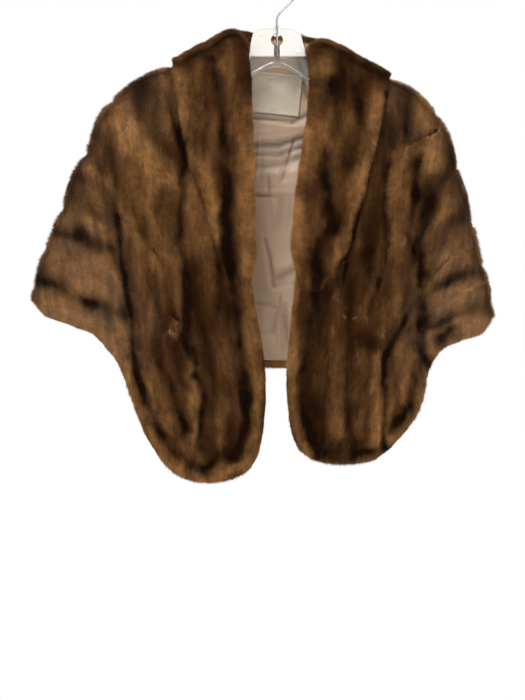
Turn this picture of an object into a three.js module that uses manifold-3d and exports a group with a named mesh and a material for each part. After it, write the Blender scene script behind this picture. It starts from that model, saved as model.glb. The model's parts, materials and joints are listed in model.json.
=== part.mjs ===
// Fur collar wrap hung on a clear hanger. Millimetres, +Z up, the front faces -Y.
// The origin is the inside of the hook's crest, where a rail carries the hanger.
// Left and right are the viewer's, so left is -X.
//
// The wrap is one long strip of pelts. It runs from the foot of the left front, up over
// the left shoulder, across the back, over the right shoulder and down the right front.
// Each panel is a surface point(u, v): u runs along the strip and v across it, from the
// neck and front opening (0) to the outer hem (1). The pelts lie side by side across v.

import * as THREE from 'three';
import { mergeVertices } from 'three/addons/utils/BufferGeometryUtils.js';
import Module from 'manifold-3d';

const wasm = await Module();
wasm.setup();

// Walls
const FUR = 11; // pelt and nap together
const NAP_AT_EDGE = 0.28; // share of the nap left at a free edge
const EDGE_ROUND = 9; // how far in from an edge the nap reaches its full height
const LINING = 1.2;
const SEAM_GAP = 0.3;
const LINING_GAP = 0.6; // between the pelt and the lining
const LINING_INSET = 9; // from the pelt's edge to the lining's edge

// Depth of the hanging wrap, from the hanger's plane to the pelt's inner side
const FRONT_DEPTH = 40;
const BACK_DEPTH = 42;
const FOLD_REACH = 78; // the sides turn from front to back within this length

// Relief of the nap
const BORDER = 24; // the pelt laid along every free edge
const BORDER_GROOVE = 2.6;
const PELT_GROOVE = 3;
const PELT_GROOVE_HALF = 7;
// Where the seams between pelts lie, as shares of the width between the borders
const PELT_SEAMS = [0.17, 0.38, 0.56, 0.74, 0.88];

// Outlines seen from the front. A ridge is the outermost line of the fur from the neck
// over the shoulder to the elbow tip. The other three follow the free edges.
const LEFT = {
  side: -1,
  ridge: [
    { x: -59, z: -126 }, { x: -139, z: -146 }, { x: -200, z: -163 }, { x: -250, z: -193 },
    { x: -288, z: -236 }, { x: -306, z: -286 }, { x: -332, z: -333 }, { x: -348, z: -384 },
    { x: -370, z: -437 }, { x: -387, z: -485 }, { x: -399, z: -533 },
  ],
  hem: [
    { x: -186, z: -784 }, { x: -207, z: -752 }, { x: -224, z: -710 }, { x: -238, z: -670 },
    { x: -253, z: -635 }, { x: -272, z: -609 }, { x: -296, z: -586 }, { x: -331, z: -572 },
    { x: -368, z: -558 },
  ],
  foot: [
    { x: -30, z: -779 }, { x: -45, z: -802 }, { x: -73, z: -817 }, { x: -106, z: -823 },
    { x: -139, z: -819 }, { x: -166, z: -806 }, { x: -186, z: -784 },
  ],
  opening: [
    { x: -30, z: -779 }, { x: -23, z: -741 }, { x: -19, z: -693 }, { x: -20, z: -645 },
    { x: -29, z: -581 }, { x: -36, z: -540 }, { x: -43, z: -480 }, { x: -47, z: -420 },
    { x: -49, z: -341 }, { x: -51, z: -245 }, { x: -52, z: -181 },
  ],
  // Outer edge of the collar on this front, downwards from the shoulder
  collarEdge: [
    { z: -100, x: -163 }, { z: -150, x: -163 }, { z: -184, x: -163 }, { z: -216, x: -156 },
    { z: -269, x: -149 }, { z: -309, x: -137 }, { z: -357, x: -123 }, { z: -408, x: -108 },
    { z: -469, x: -96 }, { z: -530, x: -84 },
  ],
  // Soft troughs in the hanging front, and ridges where depth is below zero
  folds: [
    { x1: -150, z1: -270, x2: -143, z2: -500, width: 20, depth: 8 },
    { x1: -286, z1: -295, x2: -253, z2: -450, width: 24, depth: 7 },
    { x1: -253, z1: -450, x2: -233, z2: -600, width: 22, depth: 8 },
    { x1: -123, z1: -640, x2: -126, z2: -750, width: 17, depth: 5 },
    { x1: -143, z1: -650, x2: -152, z2: -760, width: 16, depth: -4 },
    { x1: -205, z1: -380, x2: -185, z2: -560, width: 26, depth: -6 },
    { x1: -95, z1: -420, x2: -87, z2: -640, width: 18, depth: 4 },
  ],
};

const RIGHT = {
  side: 1,
  ridge: [
    { x: 64, z: -131 }, { x: 117, z: -151 }, { x: 173, z: -172 }, { x: 221, z: -193 },
    { x: 256, z: -228 }, { x: 281, z: -272 }, { x: 296, z: -328 }, { x: 311, z: -381 },
    { x: 324, z: -442 }, { x: 339, z: -496 }, { x: 353, z: -558 },
  ],
  hem: [
    { x: 181, z: -768 }, { x: 203, z: -744 }, { x: 222, z: -715 }, { x: 234, z: -682 },
    { x: 239, z: -652 }, { x: 248, z: -629 }, { x: 264, z: -611 }, { x: 292, z: -597 },
    { x: 326, z: -585 },
  ],
  foot: [
    { x: 27, z: -754 }, { x: 37, z: -771 }, { x: 57, z: -785 }, { x: 91, z: -793 },
    { x: 126, z: -792 }, { x: 158, z: -785 }, { x: 181, z: -768 },
  ],
  opening: [
    { x: 27, z: -754 }, { x: 22, z: -733 }, { x: 17, z: -685 }, { x: 16, z: -645 },
    { x: 20, z: -597 }, { x: 24, z: -560 }, { x: 30, z: -500 }, { x: 37, z: -408 },
    { x: 44, z: -349 }, { x: 54, z: -272 }, { x: 62, z: -208 },
  ],
  collarEdge: [
    { z: -100, x: 176 }, { z: -179, x: 176 }, { z: -200, x: 174 }, { z: -237, x: 166 },
    { z: -277, x: 158 }, { z: -318, x: 147 }, { z: -381, x: 133 }, { z: -443, x: 119 },
    { z: -506, x: 102 }, { z: -560, x: 86 },
  ],
  folds: [
    { x1: 212, z1: -290, x2: 222, z2: -440, width: 24, depth: 8 },
    { x1: 222, z1: -440, x2: 226, z2: -570, width: 22, depth: 9 },
    { x1: 174, z1: -293, x2: 168, z2: -480, width: 18, depth: 6 },
    { x1: 206, z1: -560, x2: 168, z2: -620, width: 20, depth: 6 },
    { x1: 165, z1: -640, x2: 166, z2: -740, width: 17, depth: 5 },
    { x1: 150, z1: -640, x2: 153, z2: -740, width: 15, depth: -4 },
    { x1: 274, z1: -330, x2: 291, z2: -520, width: 34, depth: -7 },
    { x1: 118, z1: -520, x2: 110, z2: -700, width: 20, depth: 4 },
  ],
};

const BACK = {
  neck: [{ x: -36, z: -131 }, { x: 0, z: -132 }, { x: 37, z: -134 }],
  hem: [
    { x: -317, z: -566 }, { x: -219, z: -604 }, { x: -107, z: -631 }, { x: 0, z: -641 },
    { x: 109, z: -636 }, { x: 213, z: -618 }, { x: 287, z: -601 },
  ],
  folds: [
    { x1: -130, z1: -330, x2: -170, z2: -640, width: 34, depth: 8 },
    { x1: -55, z1: -360, x2: -67, z2: -650, width: 30, depth: -6 },
    { x1: 33, z1: -350, x2: 39, z2: -650, width: 34, depth: 7 },
    { x1: 117, z1: -330, x2: 153, z2: -640, width: 30, depth: -6 },
    { x1: 210, z1: -330, x2: 241, z2: -630, width: 26, depth: 6 },
    { x1: -230, z1: -340, x2: -285, z2: -590, width: 30, depth: -5 },
  ],
};

// Collar
// How far the roll rises above the neck seam, at each shoulder and at the back
const STAND = { left: 27, right: 22, back: 24 };
const COLLAR_CLEAR = 1.8; // between the body's fur and the underside of the collar
const COLLAR_DROP_BACK = 0.21; // share of the back that the collar covers
const COLLAR_TOUCH = 0.95; // share of the collar's width at which it meets the body
const COLLAR_END = 42; // length over which the nap thins towards the collar's end
const COLLAR_END_NAP = 0.3; // share of the nap left there
const COLLAR_FOOT_U = 0.4; // where the collar ends on a front, as a share of its length
const COLLAR_SLANT = 0.12; // how much higher its outer corner ends
const COLLAR_SEAM_X = 0; // the seam at the middle of the back
// The roll's section: share of the stand's height, and distance outwards
const ROLL = [
  { rise: 0, out: 0 }, { rise: 0.45, out: -1 }, { rise: 0.85, out: 1.5 },
  { rise: 1, out: 8 }, { rise: 0.93, out: 16 },
];
// The same rows where the collar only wraps a front's edge: height above the pelt, and
// distance past its edge
const WRAP = [
  { above: 3, past: 0.8 }, { above: 6, past: 0.9 }, { above: 9, past: 0.9 },
  { above: FUR + 0.9, past: 0.7 }, { above: FUR + COLLAR_CLEAR, past: -3 },
];

// Label, on the lining below the back of the neck
const LABEL = { width: 98, height: 62, x: -9, z: -203, tilt: 0.07, thick: 1, clear: 0.96 };

// Rip in the seam at the right shoulder
const RIP = { x: 250, z: -262, length: 21, width: 6, angle: 0.78 };

// Hanger
const WIRE = 3.4;
const HOOK_RADIUS = 32; // to the middle of the wire
const HOOK_END = THREE.MathUtils.degToRad(205);
const STEM_FOOT = -147;
const PLATE = { top: -97, thick: 3, hole: 9.6, holeZ: -117, boss: 4.2 };
const ARM = { deep: 9, tall: 7 };
// Top of the arms from the left tip to the right one. The right arm hangs lower.
const ARM_TOP = [
  { x: -202, z: -187 }, { x: -170, z: -182 }, { x: -120, z: -180 }, { x: -80, z: -181 },
  { x: -58, z: -178 }, { x: -41, z: -169.6 }, { x: -17, z: -155 }, { x: 0, z: -150.5 },
  { x: 20, z: -157.5 }, { x: 41, z: -171.5 }, { x: 57, z: -183 }, { x: 80, z: -188 },
  { x: 120, z: -191 }, { x: 170, z: -196.5 }, { x: 202, z: -207 },
];

const BROWN = { fur: 0x6b4527, collar: 0x72492a, lining: 0x8d7767 };

const clamp01 = (t) => Math.min(1, Math.max(0, t));
const smooth = (t) => clamp01(t) ** 2 * (3 - 2 * clamp01(t));
const flat = (row) => new THREE.Vector3(row.x, 0, row.z);
const mix = (a, b, t) => a.clone().lerp(b, t);

function curveThrough(points) {
  const curve = new THREE.CatmullRomCurve3(points, false, 'centripetal');
  curve.arcLengthDivisions = 400;
  return curve;
}

// The in-plane direction out of the outline, at t along a ridge
function ridgeNormal(ridge, side, t) {
  const along = ridge.getTangentAt(t);
  return new THREE.Vector3(-along.z * side, 0, along.x * side).normalize();
}

// The ridge of the pelt's inner side lies one fur's depth inside the outline
function insetRidge(front) {
  const outline = curveThrough(front.ridge.map(flat));
  const steps = 22;
  const points = [];
  for (let i = 0; i <= steps; i += 1) {
    const t = i / steps;
    points.push(outline.getPointAt(t).addScaledVector(ridgeNormal(outline, front.side, t), -FUR));
  }
  return curveThrough(points);
}

// How far a set of folds pushes a point in from the outside
function foldDepth(folds, x, z) {
  let sum = 0;
  for (const fold of folds) {
    const dx = fold.x2 - fold.x1;
    const dz = fold.z2 - fold.z1;
    const along = ((x - fold.x1) * dx + (z - fold.z1) * dz) / (dx * dx + dz * dz);
    const t = clamp01(along);
    const away = Math.hypot(x - fold.x1 - t * dx, z - fold.z1 - t * dz) / fold.width;
    sum += fold.depth * Math.exp(-away * away);
  }
  return sum;
}

// A quarter ellipse: 0 at the ridge and 1 from FOLD_REACH on
const turn = (distance) => Math.sqrt(1 - (1 - clamp01(distance / FOLD_REACH)) ** 2);

// A panel between four edge curves, blended in the plane of the front view
function blendedPanel(low, high, start, end) {
  return (u, v) => {
    const p = low.getPointAt(u).multiplyScalar(1 - v);
    p.addScaledVector(high.getPointAt(u), v);
    p.addScaledVector(start.getPointAt(v), 1 - u);
    p.addScaledVector(end.getPointAt(v), u);
    p.addScaledVector(start.getPoint(0), -(1 - u) * (1 - v));
    p.addScaledVector(start.getPoint(1), -(1 - u) * v);
    p.addScaledVector(end.getPoint(0), -u * (1 - v));
    p.addScaledVector(end.getPoint(1), -u * v);
    return p;
  };
}

// Adds widths, lengths and outward normals to a surface
function panelFrom(point, outward, ridgeNormalAt) {
  const measure = (at) => {
    let sum = 0;
    let last = at(0);
    for (let i = 1; i <= 16; i += 1) {
      const next = at(i / 16);
      sum += next.distanceTo(last);
      last = next;
    }
    return sum;
  };
  const normal = (u, v) => {
    const fixed = ridgeNormalAt(u, v);
    if (fixed) return fixed;
    const step = 2e-3;
    const alongU = point(Math.min(1, u + step), v).sub(point(Math.max(0, u - step), v));
    const alongV = point(u, Math.min(1, v + step)).sub(point(u, Math.max(0, v - step)));
    const n = alongU.cross(alongV).normalize();
    return outward(u, v).dot(n) < 0 ? n.negate() : n;
  };
  return {
    point,
    normal,
    width: (u) => measure((v) => point(u, v)),
    length: (v) => measure((u) => point(u, v)),
  };
}

function frontPanel(front, ridge) {
  const opening = curveThrough([...front.opening.map(flat), ridge.getPoint(0)]);
  const hem = curveThrough([...front.hem.map(flat), ridge.getPoint(1)]);
  const foot = curveThrough(front.foot.map(flat));
  const plan = blendedPanel(opening, hem, foot, ridge);
  const reach = (v) => THREE.MathUtils.lerp(opening.getLength(), hem.getLength(), v);
  const point = (u, v) => {
    const p = plan(u, v);
    const out = turn((1 - u) * reach(v));
    const hang = FRONT_DEPTH * (1 - 0.15 * v) - 7 * (1 - u) ** 2;
    p.y = -out * (hang - out * foldDepth(front.folds, p.x, p.z)) - SEAM_GAP / 2;
    return p;
  };
  const forward = (u, v) => {
    const n = ridgeNormal(ridge, front.side, v).multiplyScalar(u ** 6);
    n.y -= 1.02 - u ** 6;
    return n;
  };
  const atRidge = (u, v) => (u > 0.9999 ? ridgeNormal(ridge, front.side, v) : null);
  return panelFrom(point, forward, atRidge);
}

function backPanel(leftRidge, rightRidge) {
  const ends = [leftRidge, rightRidge];
  const [neckL, neckR] = ends.map((r) => r.getPoint(0));
  const [tipL, tipR] = ends.map((r) => r.getPoint(1));
  const neck = curveThrough([neckL, ...BACK.neck.map(flat), neckR]);
  const hem = curveThrough([tipL, ...BACK.hem.map(flat), tipR]);
  const plan = blendedPanel(neck, hem, leftRidge, rightRidge);
  const reach = (v) => THREE.MathUtils.lerp(neck.getLength(), hem.getLength(), v);
  const point = (u, v) => {
    const p = plan(u, v);
    const out = turn(u * reach(v)) * turn((1 - u) * reach(v));
    const hang = BACK_DEPTH * (1 - 0.12 * v);
    p.y = out * (hang - out * smooth(v * 3) * foldDepth(BACK.folds, p.x, p.z)) + SEAM_GAP / 2;
    return p;
  };
  const backward = (u, v) => {
    const edge = Math.abs(2 * u - 1) ** 12;
    const [ridge, side] = u < 0.5 ? [leftRidge, -1] : [rightRidge, 1];
    const n = ridgeNormal(ridge, side, v).multiplyScalar(edge);
    n.y += 1.02 - edge;
    return n;
  };
  const atRidge = (u, v) => {
    if (u < 1e-4) return ridgeNormal(leftRidge, -1, v);
    if (u > 0.9999) return ridgeNormal(rightRidge, 1, v);
    return null;
  };
  return panelFrom(point, backward, atRidge);
}

// Height of the nap, from the distances to a panel's free edges and its place across
function napHeight(toEdge, across) {
  const arc = Math.sqrt(1 - (1 - clamp01(toEdge / EDGE_ROUND)) ** 2);
  const round = NAP_AT_EDGE + (1 - NAP_AT_EDGE) * arc;
  const border = BORDER_GROOVE * Math.exp(-(((toEdge - BORDER) / 5) ** 2));
  const inner = smooth((toEdge - BORDER) / 16);
  let seams = 0;
  for (const seam of PELT_SEAMS) {
    const away = ((across.share - seam) * across.span) / (PELT_GROOVE_HALF * 0.75);
    seams += PELT_GROOVE * Math.exp(-away * away);
  }
  return FUR * round - border - inner * seams;
}

// Places across a panel, in millimetres from v = 0, at one station
function rowsAcross(width) {
  const border = [0, 2.5, 8, 16, BORDER];
  const span = width - 2 * BORDER;
  const half = Math.min(PELT_GROOVE_HALF, 0.055 * span) / span;
  const rows = [];
  const bounds = [0, ...PELT_SEAMS, 1];
  for (let k = 1; k < bounds.length; k += 1) {
    rows.push((bounds[k - 1] + bounds[k]) / 2);
    if (k < bounds.length - 1) rows.push(bounds[k] - half, bounds[k], bounds[k] + half);
  }
  const middle = rows.map((share) => BORDER + share * span);
  return [...border, ...middle, ...border.map((d) => width - d).reverse()];
}

// Joins an outer and an inner grid of points, whose borders match, into a closed wall
function wall(outer, inner) {
  const positions = [];
  const faces = [];
  const number = (grid) => grid.map((row) => row.map((p) => {
    positions.push(p.x, p.y, p.z);
    return positions.length / 3 - 1;
  }));
  const cover = (ids, flip) => {
    for (let i = 0; i + 1 < ids.length; i += 1) {
      for (let j = 0; j + 1 < ids[i].length; j += 1) {
        const [a, b, c, d] = [ids[i][j], ids[i + 1][j], ids[i + 1][j + 1], ids[i][j + 1]];
        if (flip) faces.push([a, c, b], [a, d, c]);
        else faces.push([a, b, c], [a, c, d]);
      }
    }
  };
  const border = (ids) => {
    const last = ids.length - 1;
    const end = ids[0].length - 1;
    return [
      ids.map((row) => row[0]),
      ids[last],
      ids.map((row) => row[end]).reverse(),
      [...ids[0]].reverse(),
    ];
  };
  const shares = (line) => {
    const at = [0];
    for (let i = 1; i < line.length; i += 1) {
      const [a, b] = [line[i - 1] * 3, line[i] * 3];
      const step = [0, 1, 2].map((k) => positions[a + k] - positions[b + k]);
      at.push(at[i - 1] + Math.hypot(...step));
    }
    return at.map((d) => d / at[at.length - 1]);
  };
  const zip = (out, into) => {
    const [so, si] = [shares(out), shares(into)];
    let [i, k] = [0, 0];
    while (i < out.length - 1 || k < into.length - 1) {
      const takeOuter = k === into.length - 1 || (i < out.length - 1 && so[i + 1] <= si[k + 1]);
      if (takeOuter) {
        faces.push([out[i + 1], out[i], into[k]]);
        i += 1;
      } else {
        faces.push([into[k], into[k + 1], out[i]]);
        k += 1;
      }
    }
  };
  const outerIds = number(outer);
  const innerIds = number(inner);
  cover(outerIds, false);
  cover(innerIds, true);
  const innerSides = border(innerIds);
  border(outerIds).forEach((side, n) => zip(side, innerSides[n]));
  return solid(positions, faces);
}

// A geometry from points and faces, turned so that its faces point out
function solid(positions, faces) {
  const corner = (id) => new THREE.Vector3().fromArray(positions, id * 3);
  let volume = 0;
  for (const [a, b, c] of faces) volume += corner(a).dot(corner(b).cross(corner(c)));
  const turned = volume > 0 ? faces : faces.map(([a, b, c]) => [a, c, b]);
  const geometry = new THREE.BufferGeometry();
  geometry.setAttribute('position', new THREE.Float32BufferAttribute(positions, 3));
  geometry.setIndex(turned.flat());
  geometry.computeVertexNormals();
  return geometry;
}

// Stations along a front, close together at the foot's border and at the shoulder
const FRONT_U = [
  0, 0.005, 0.016, 0.032, 0.048, 0.075, 0.12, 0.17, 0.225, 0.285, 0.345, 0.405, 0.465,
  0.525, 0.585, 0.645, 0.705, 0.765, 0.82, 0.868, 0.908, 0.94, 0.966, 0.986, 1,
];
const BACK_HALF_U = [0, 0.01, 0.028, 0.054, 0.09, 0.135, 0.185, 0.24, 0.3, 0.365, 0.432, 0.5];
const BACK_U = [...BACK_HALF_U, ...BACK_HALF_U.slice(0, -1).map((u) => 1 - u).reverse()];
const SPARSE_FRONT_U = [
  0, 0.02, 0.12, 0.225, 0.345, 0.465, 0.585, 0.705, 0.81, 0.88, 0.932, 0.966, 0.988, 1,
];
const SPARSE_BACK_U = BACK_U.filter((u, i) => i % 2 === 0 || i === BACK_U.length - 1);

// The pelt's underside needs few points: its edges, the lining's edges and some between
function sparseRows(width) {
  const between = [0.12, 0.32, 0.52, 0.72, 0.9];
  const from = LINING_INSET;
  const span = width - 2 * from;
  return [0, from, ...between.map((share) => from + share * span), width - from, width];
}

function peltGrid(panel, stations, freeFoot, freeNeck) {
  return stations.map((u) => {
    const width = panel.width(u);
    const span = width - 2 * BORDER;
    return rowsAcross(width).map((d) => {
      const v = clamp01(d / width);
      const toFoot = freeFoot ? u * panel.length(v) : Infinity;
      const toNeck = freeNeck ? d : Infinity;
      const toEdge = Math.min(toFoot, toNeck, width - d);
      const height = napHeight(toEdge, { share: (d - BORDER) / span, span });
      return panel.point(u, v).addScaledVector(panel.normal(u, v), height);
    });
  });
}

function undersideGrid(panel, stations, below) {
  return stations.map((u) => {
    const width = panel.width(u);
    return sparseRows(width).map((d) => {
      const v = clamp01(d / width);
      return panel.point(u, v).addScaledVector(panel.normal(u, v), -below);
    });
  });
}

function furWall(panel, stations, sparse, freeFoot, freeNeck) {
  return wall(peltGrid(panel, stations, freeFoot, freeNeck), undersideGrid(panel, sparse, 0));
}

function liningWall(panel, sparse, fromFoot) {
  const trim = (grid) => grid.slice(fromFoot ? 1 : 0).map((row) => row.slice(1, -1));
  const near = trim(undersideGrid(panel, sparse, LINING_GAP));
  const far = trim(undersideGrid(panel, sparse, LINING_GAP + LINING));
  return wall(near, far);
}

// Where the collar's edge crosses station u, as a place across the panel
function collarShare(front, panel, u) {
  const edge = front.collarEdge;
  const edgeX = (z) => {
    let k = 1;
    while (k < edge.length - 1 && z < edge[k].z) k += 1;
    const t = clamp01((z - edge[k - 1].z) / (edge[k].z - edge[k - 1].z));
    return THREE.MathUtils.lerp(edge[k - 1].x, edge[k].x, t);
  };
  const step = 0.002;
  let v = step;
  while (v < 0.6) {
    const p = panel.point(u, v);
    if (p.x * front.side > edgeX(p.z) * front.side) break;
    v += step;
  }
  return v;
}

// One station across the collar's underside. rolled is 1 at the neck, where the collar
// rises to its stand, and 0 where it only wraps the edge of a front. curl is how far the
// station bends up the strip towards its outer corner.
function collarSection(panel, { u, share, rolled, stand, curl }) {
  const neckCentre = new THREE.Vector3(2, 4, 0);
  const edge = panel.point(u, 0);
  const n = panel.normal(u, 0);
  const past = edge.clone().sub(panel.point(u, 0.02)).normalize();
  const out = edge.clone().sub(neckCentre).setZ(0).normalize();
  const up = new THREE.Vector3(0, 0, 1);
  const rows = ROLL.map((roll, k) => {
    const neck = edge.clone().addScaledVector(past, 1.2);
    neck.addScaledVector(up, stand * roll.rise).addScaledVector(out, roll.out);
    const wrap = edge.clone().addScaledVector(past, WRAP[k].past).addScaledVector(n, WRAP[k].above);
    return mix(wrap, neck, rolled);
  });
  const above = FUR + COLLAR_CLEAR;
  const lift = rows[rows.length - 1].clone().sub(edge).addScaledVector(n, -above);
  const steps = 9;
  for (let k = 1; k <= steps; k += 1) {
    const t = k / steps;
    const at = u + curl * t ** 3;
    const v = share * t;
    const p = panel.point(at, v).addScaledVector(panel.normal(at, v), above);
    rows.push(p.addScaledVector(lift, Math.max(0, 1 - t / COLLAR_TOUCH) ** 1.3));
  }
  return rows;
}

// The collar's nap over a grid of underside points. It is rounded at the free edges,
// thins towards the foot and ends in a flat seam at the last station.
function collarWall(under, turned) {
  const last = under[0].length - 1;
  const fromFoot = under[0].map(() => 0);
  const outer = under.map((row, i) => row.map((p, j) => {
    const before = under[Math.max(0, i - 1)][j];
    const after = under[Math.min(under.length - 1, i + 1)][j];
    const alongU = after.clone().sub(before);
    const alongV = row[Math.min(last, j + 1)].clone().sub(row[Math.max(0, j - 1)]);
    const n = alongU.cross(alongV).normalize().multiplyScalar(turned);
    if (i === under.length - 1) n.setX(0).normalize();
    if (i > 0) fromFoot[j] += p.distanceTo(before);
    const end = COLLAR_END_NAP + (1 - COLLAR_END_NAP) * smooth(fromFoot[j] / COLLAR_END);
    let toEdge = Math.min(
      p.distanceTo(row[last]),
      j === 0 ? 1.5 : p.distanceTo(row[0]) + 3,
    );
    if (i === 0) toEdge = 0;
    if (i === 1) toEdge = Math.min(toEdge, p.distanceTo(before));
    const arc = Math.sqrt(1 - (1 - clamp01(toEdge / EDGE_ROUND)) ** 2);
    const round = NAP_AT_EDGE + (1 - NAP_AT_EDGE) * arc;
    return p.clone().addScaledVector(n, FUR * Math.min(round, end));
  }));
  return wall(outer, under);
}

function collarHalf(front, panel, back) {
  const shoulder = front.side < 0 ? STAND.left : STAND.right;
  const footU = COLLAR_FOOT_U;
  const onFront = [footU, footU + 0.012, ...FRONT_U.filter((u) => u > footU + 0.03)];
  const stations = onFront.map((u) => {
    const curl = COLLAR_SLANT * clamp01(1 - (u - footU) / 0.2);
    const share = collarShare(front, panel, Math.min(1, u + curl));
    const rolled = smooth((u - 0.8) / 0.17);
    return collarSection(panel, { u, share, rolled, stand: shoulder, curl });
  });
  const ridgeShare = collarShare(front, panel, 1);
  for (const u of BACK_HALF_U.slice(1)) {
    const share = THREE.MathUtils.lerp(ridgeShare, COLLAR_DROP_BACK, smooth(u / 0.35));
    const stand = THREE.MathUtils.lerp(shoulder, STAND.back, smooth(u / 0.3));
    const at = front.side < 0 ? u : 1 - u;
    stations.push(collarSection(back, { u: at, share, rolled: 1, stand, curl: 0 }));
  }
  const seam = stations[stations.length - 1];
  for (const p of seam) p.x = COLLAR_SEAM_X + (front.side * SEAM_GAP) / 2;
  return collarWall(stations, -front.side);
}

// The place on a panel under a point of the front view
function placeUnder(panel, x, z) {
  let [u, v] = [0.5, 0.2];
  const step = 1e-3;
  for (let round = 0; round < 12; round += 1) {
    const p = panel.point(u, v);
    const pu = panel.point(u + step, v).sub(p).divideScalar(step);
    const pv = panel.point(u, v + step).sub(p).divideScalar(step);
    const det = pu.x * pv.z - pv.x * pu.z;
    const [ex, ez] = [x - p.x, z - p.z];
    u += (ex * pv.z - pv.x * ez) / det;
    v += (pu.x * ez - ex * pu.z) / det;
  }
  return [u, v];
}

function labelWall(back) {
  const across = 6;
  const down = 4;
  const layer = (below) => {
    const grid = [];
    for (let i = 0; i <= across; i += 1) {
      const row = [];
      for (let j = 0; j <= down; j += 1) {
        const dx = (i / across - 0.5) * LABEL.width;
        const dz = (0.5 - j / down) * LABEL.height;
        const x = LABEL.x + dx * Math.cos(LABEL.tilt) - dz * Math.sin(LABEL.tilt);
        const z = LABEL.z + dz * Math.cos(LABEL.tilt) - dx * Math.sin(LABEL.tilt);
        const [u, v] = placeUnder(back, x, z);
        row.push(back.point(u, v).addScaledVector(back.normal(u, v), -below));
      }
      grid.push(row);
    }
    return grid;
  };
  const top = LINING_GAP + LINING + LABEL.clear;
  return wall(layer(top), layer(top + LABEL.thick));
}

// Booleans
function toManifold(geometry) {
  const bare = geometry.clone();
  bare.deleteAttribute('normal');
  bare.deleteAttribute('uv');
  const merged = mergeVertices(bare, 1e-4);
  return new wasm.Manifold(new wasm.Mesh({
    numProp: 3,
    vertProperties: new Float32Array(merged.attributes.position.array),
    triVerts: new Uint32Array(merged.index.array),
  }));
}

function fromManifold(manifold) {
  const mesh = manifold.getMesh();
  const geometry = new THREE.BufferGeometry();
  geometry.setAttribute('position', new THREE.Float32BufferAttribute(mesh.vertProperties, 3));
  geometry.setIndex(Array.from(mesh.triVerts));
  geometry.computeVertexNormals();
  return geometry;
}

// A flat shape drawn in the front view, made deep along Y and centred there
function upright(shape, depth, bevel) {
  const geometry = new THREE.ExtrudeGeometry(shape, {
    depth: depth - 2 * bevel,
    bevelEnabled: bevel > 0,
    bevelThickness: bevel,
    bevelSize: bevel,
    bevelOffset: -bevel,
    bevelSegments: 1,
    curveSegments: 6,
  });
  geometry.translate(0, 0, bevel - depth / 2);
  return geometry.rotateX(Math.PI / 2);
}

// The rip is a leaf-shaped cut through the pelt where two shoulder pelts meet
function cutRip(geometry) {
  const [long, wide] = [RIP.length / 2, RIP.width / 2];
  const leaf = new THREE.Shape();
  leaf.moveTo(-long, 0);
  leaf.quadraticCurveTo(long * 0.3, wide * 2, long, 0);
  leaf.quadraticCurveTo(long * 0.3, -wide * 2, -long, 0);
  const cutter = upright(leaf, 60, 0);
  cutter.rotateY(-RIP.angle).translate(RIP.x, -32, RIP.z);
  return fromManifold(toManifold(geometry).subtract(toManifold(cutter)));
}

function hangerBody() {
  const line = curveThrough(ARM_TOP.map(flat));
  const top = line.getSpacedPoints(44);
  const reach = -ARM_TOP[0].x;
  const under = top.map((p) => p.clone().setZ(p.z - ARM.tall - 4 * smooth(Math.abs(p.x) / reach)));
  const around = [...top, ...under.reverse()].map((p) => new THREE.Vector2(p.x, p.z));
  const arms = toManifold(upright(new THREE.Shape(around), ARM.deep, 0));

  const plate = new THREE.Shape();
  plate.moveTo(-50, -174);
  plate.lineTo(-42, -121);
  plate.quadraticCurveTo(-36, PLATE.top, -22, PLATE.top);
  plate.lineTo(20, PLATE.top);
  plate.quadraticCurveTo(35, PLATE.top, 42, -121);
  plate.lineTo(54, -180);
  plate.lineTo(28, -167);
  plate.lineTo(0, -154);
  plate.lineTo(-28, -165);
  const hole = new THREE.CylinderGeometry(PLATE.hole, PLATE.hole, 40, 24);
  hole.translate(0, 0, PLATE.holeZ);
  const bossTop = PLATE.top + 2;
  const boss = new THREE.CylinderGeometry(PLATE.boss, PLATE.boss, bossTop - STEM_FOOT + 4, 14);
  boss.rotateX(Math.PI / 2).translate(0, 0, (bossTop + STEM_FOOT - 4) / 2);
  const boreRadius = WIRE / 2 + SEAM_GAP;
  const bore = new THREE.CylinderGeometry(boreRadius, boreRadius, 200, 12);
  bore.rotateX(Math.PI / 2).translate(0, 0, STEM_FOOT - SEAM_GAP + 100);
  return fromManifold(
    arms
      .add(toManifold(upright(plate, PLATE.thick, 0)))
      .add(toManifold(boss))
      .subtract(toManifold(hole))
      .subtract(toManifold(bore)),
  );
}

function hangerHook() {
  const centreZ = WIRE / 2 - HOOK_RADIUS;
  const start = -Math.PI / 4;
  const bendZ = centreZ - HOOK_RADIUS * Math.SQRT2;
  const points = [
    new THREE.Vector3(0, 0, STEM_FOOT),
    new THREE.Vector3(0, 0, (STEM_FOOT + bendZ) / 2),
    new THREE.Vector3(0, 0, bendZ - 12),
    new THREE.Vector3(0, 0, bendZ - 5),
    new THREE.Vector3(4, 0, bendZ + 4),
  ];
  const arcSteps = 12;
  for (let i = 0; i <= arcSteps; i += 1) {
    const a = start + ((HOOK_END - start) * i) / arcSteps;
    points.push(new THREE.Vector3(
      HOOK_RADIUS * Math.cos(a), 0, centreZ + HOOK_RADIUS * Math.sin(a),
    ));
  }
  const section = new THREE.Shape();
  section.absarc(0, 0, WIRE / 2, 0, 2 * Math.PI);
  return new THREE.ExtrudeGeometry(section, {
    steps: 44,
    curveSegments: 5,
    bevelEnabled: false,
    extrudePath: curveThrough(points),
  });
}

function piece(name, geometry, color, roughness, extra = {}) {
  const material = new THREE.MeshStandardMaterial({ color, roughness, metalness: 0, ...extra });
  const mesh = new THREE.Mesh(geometry, material);
  mesh.name = name;
  return mesh;
}

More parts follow.
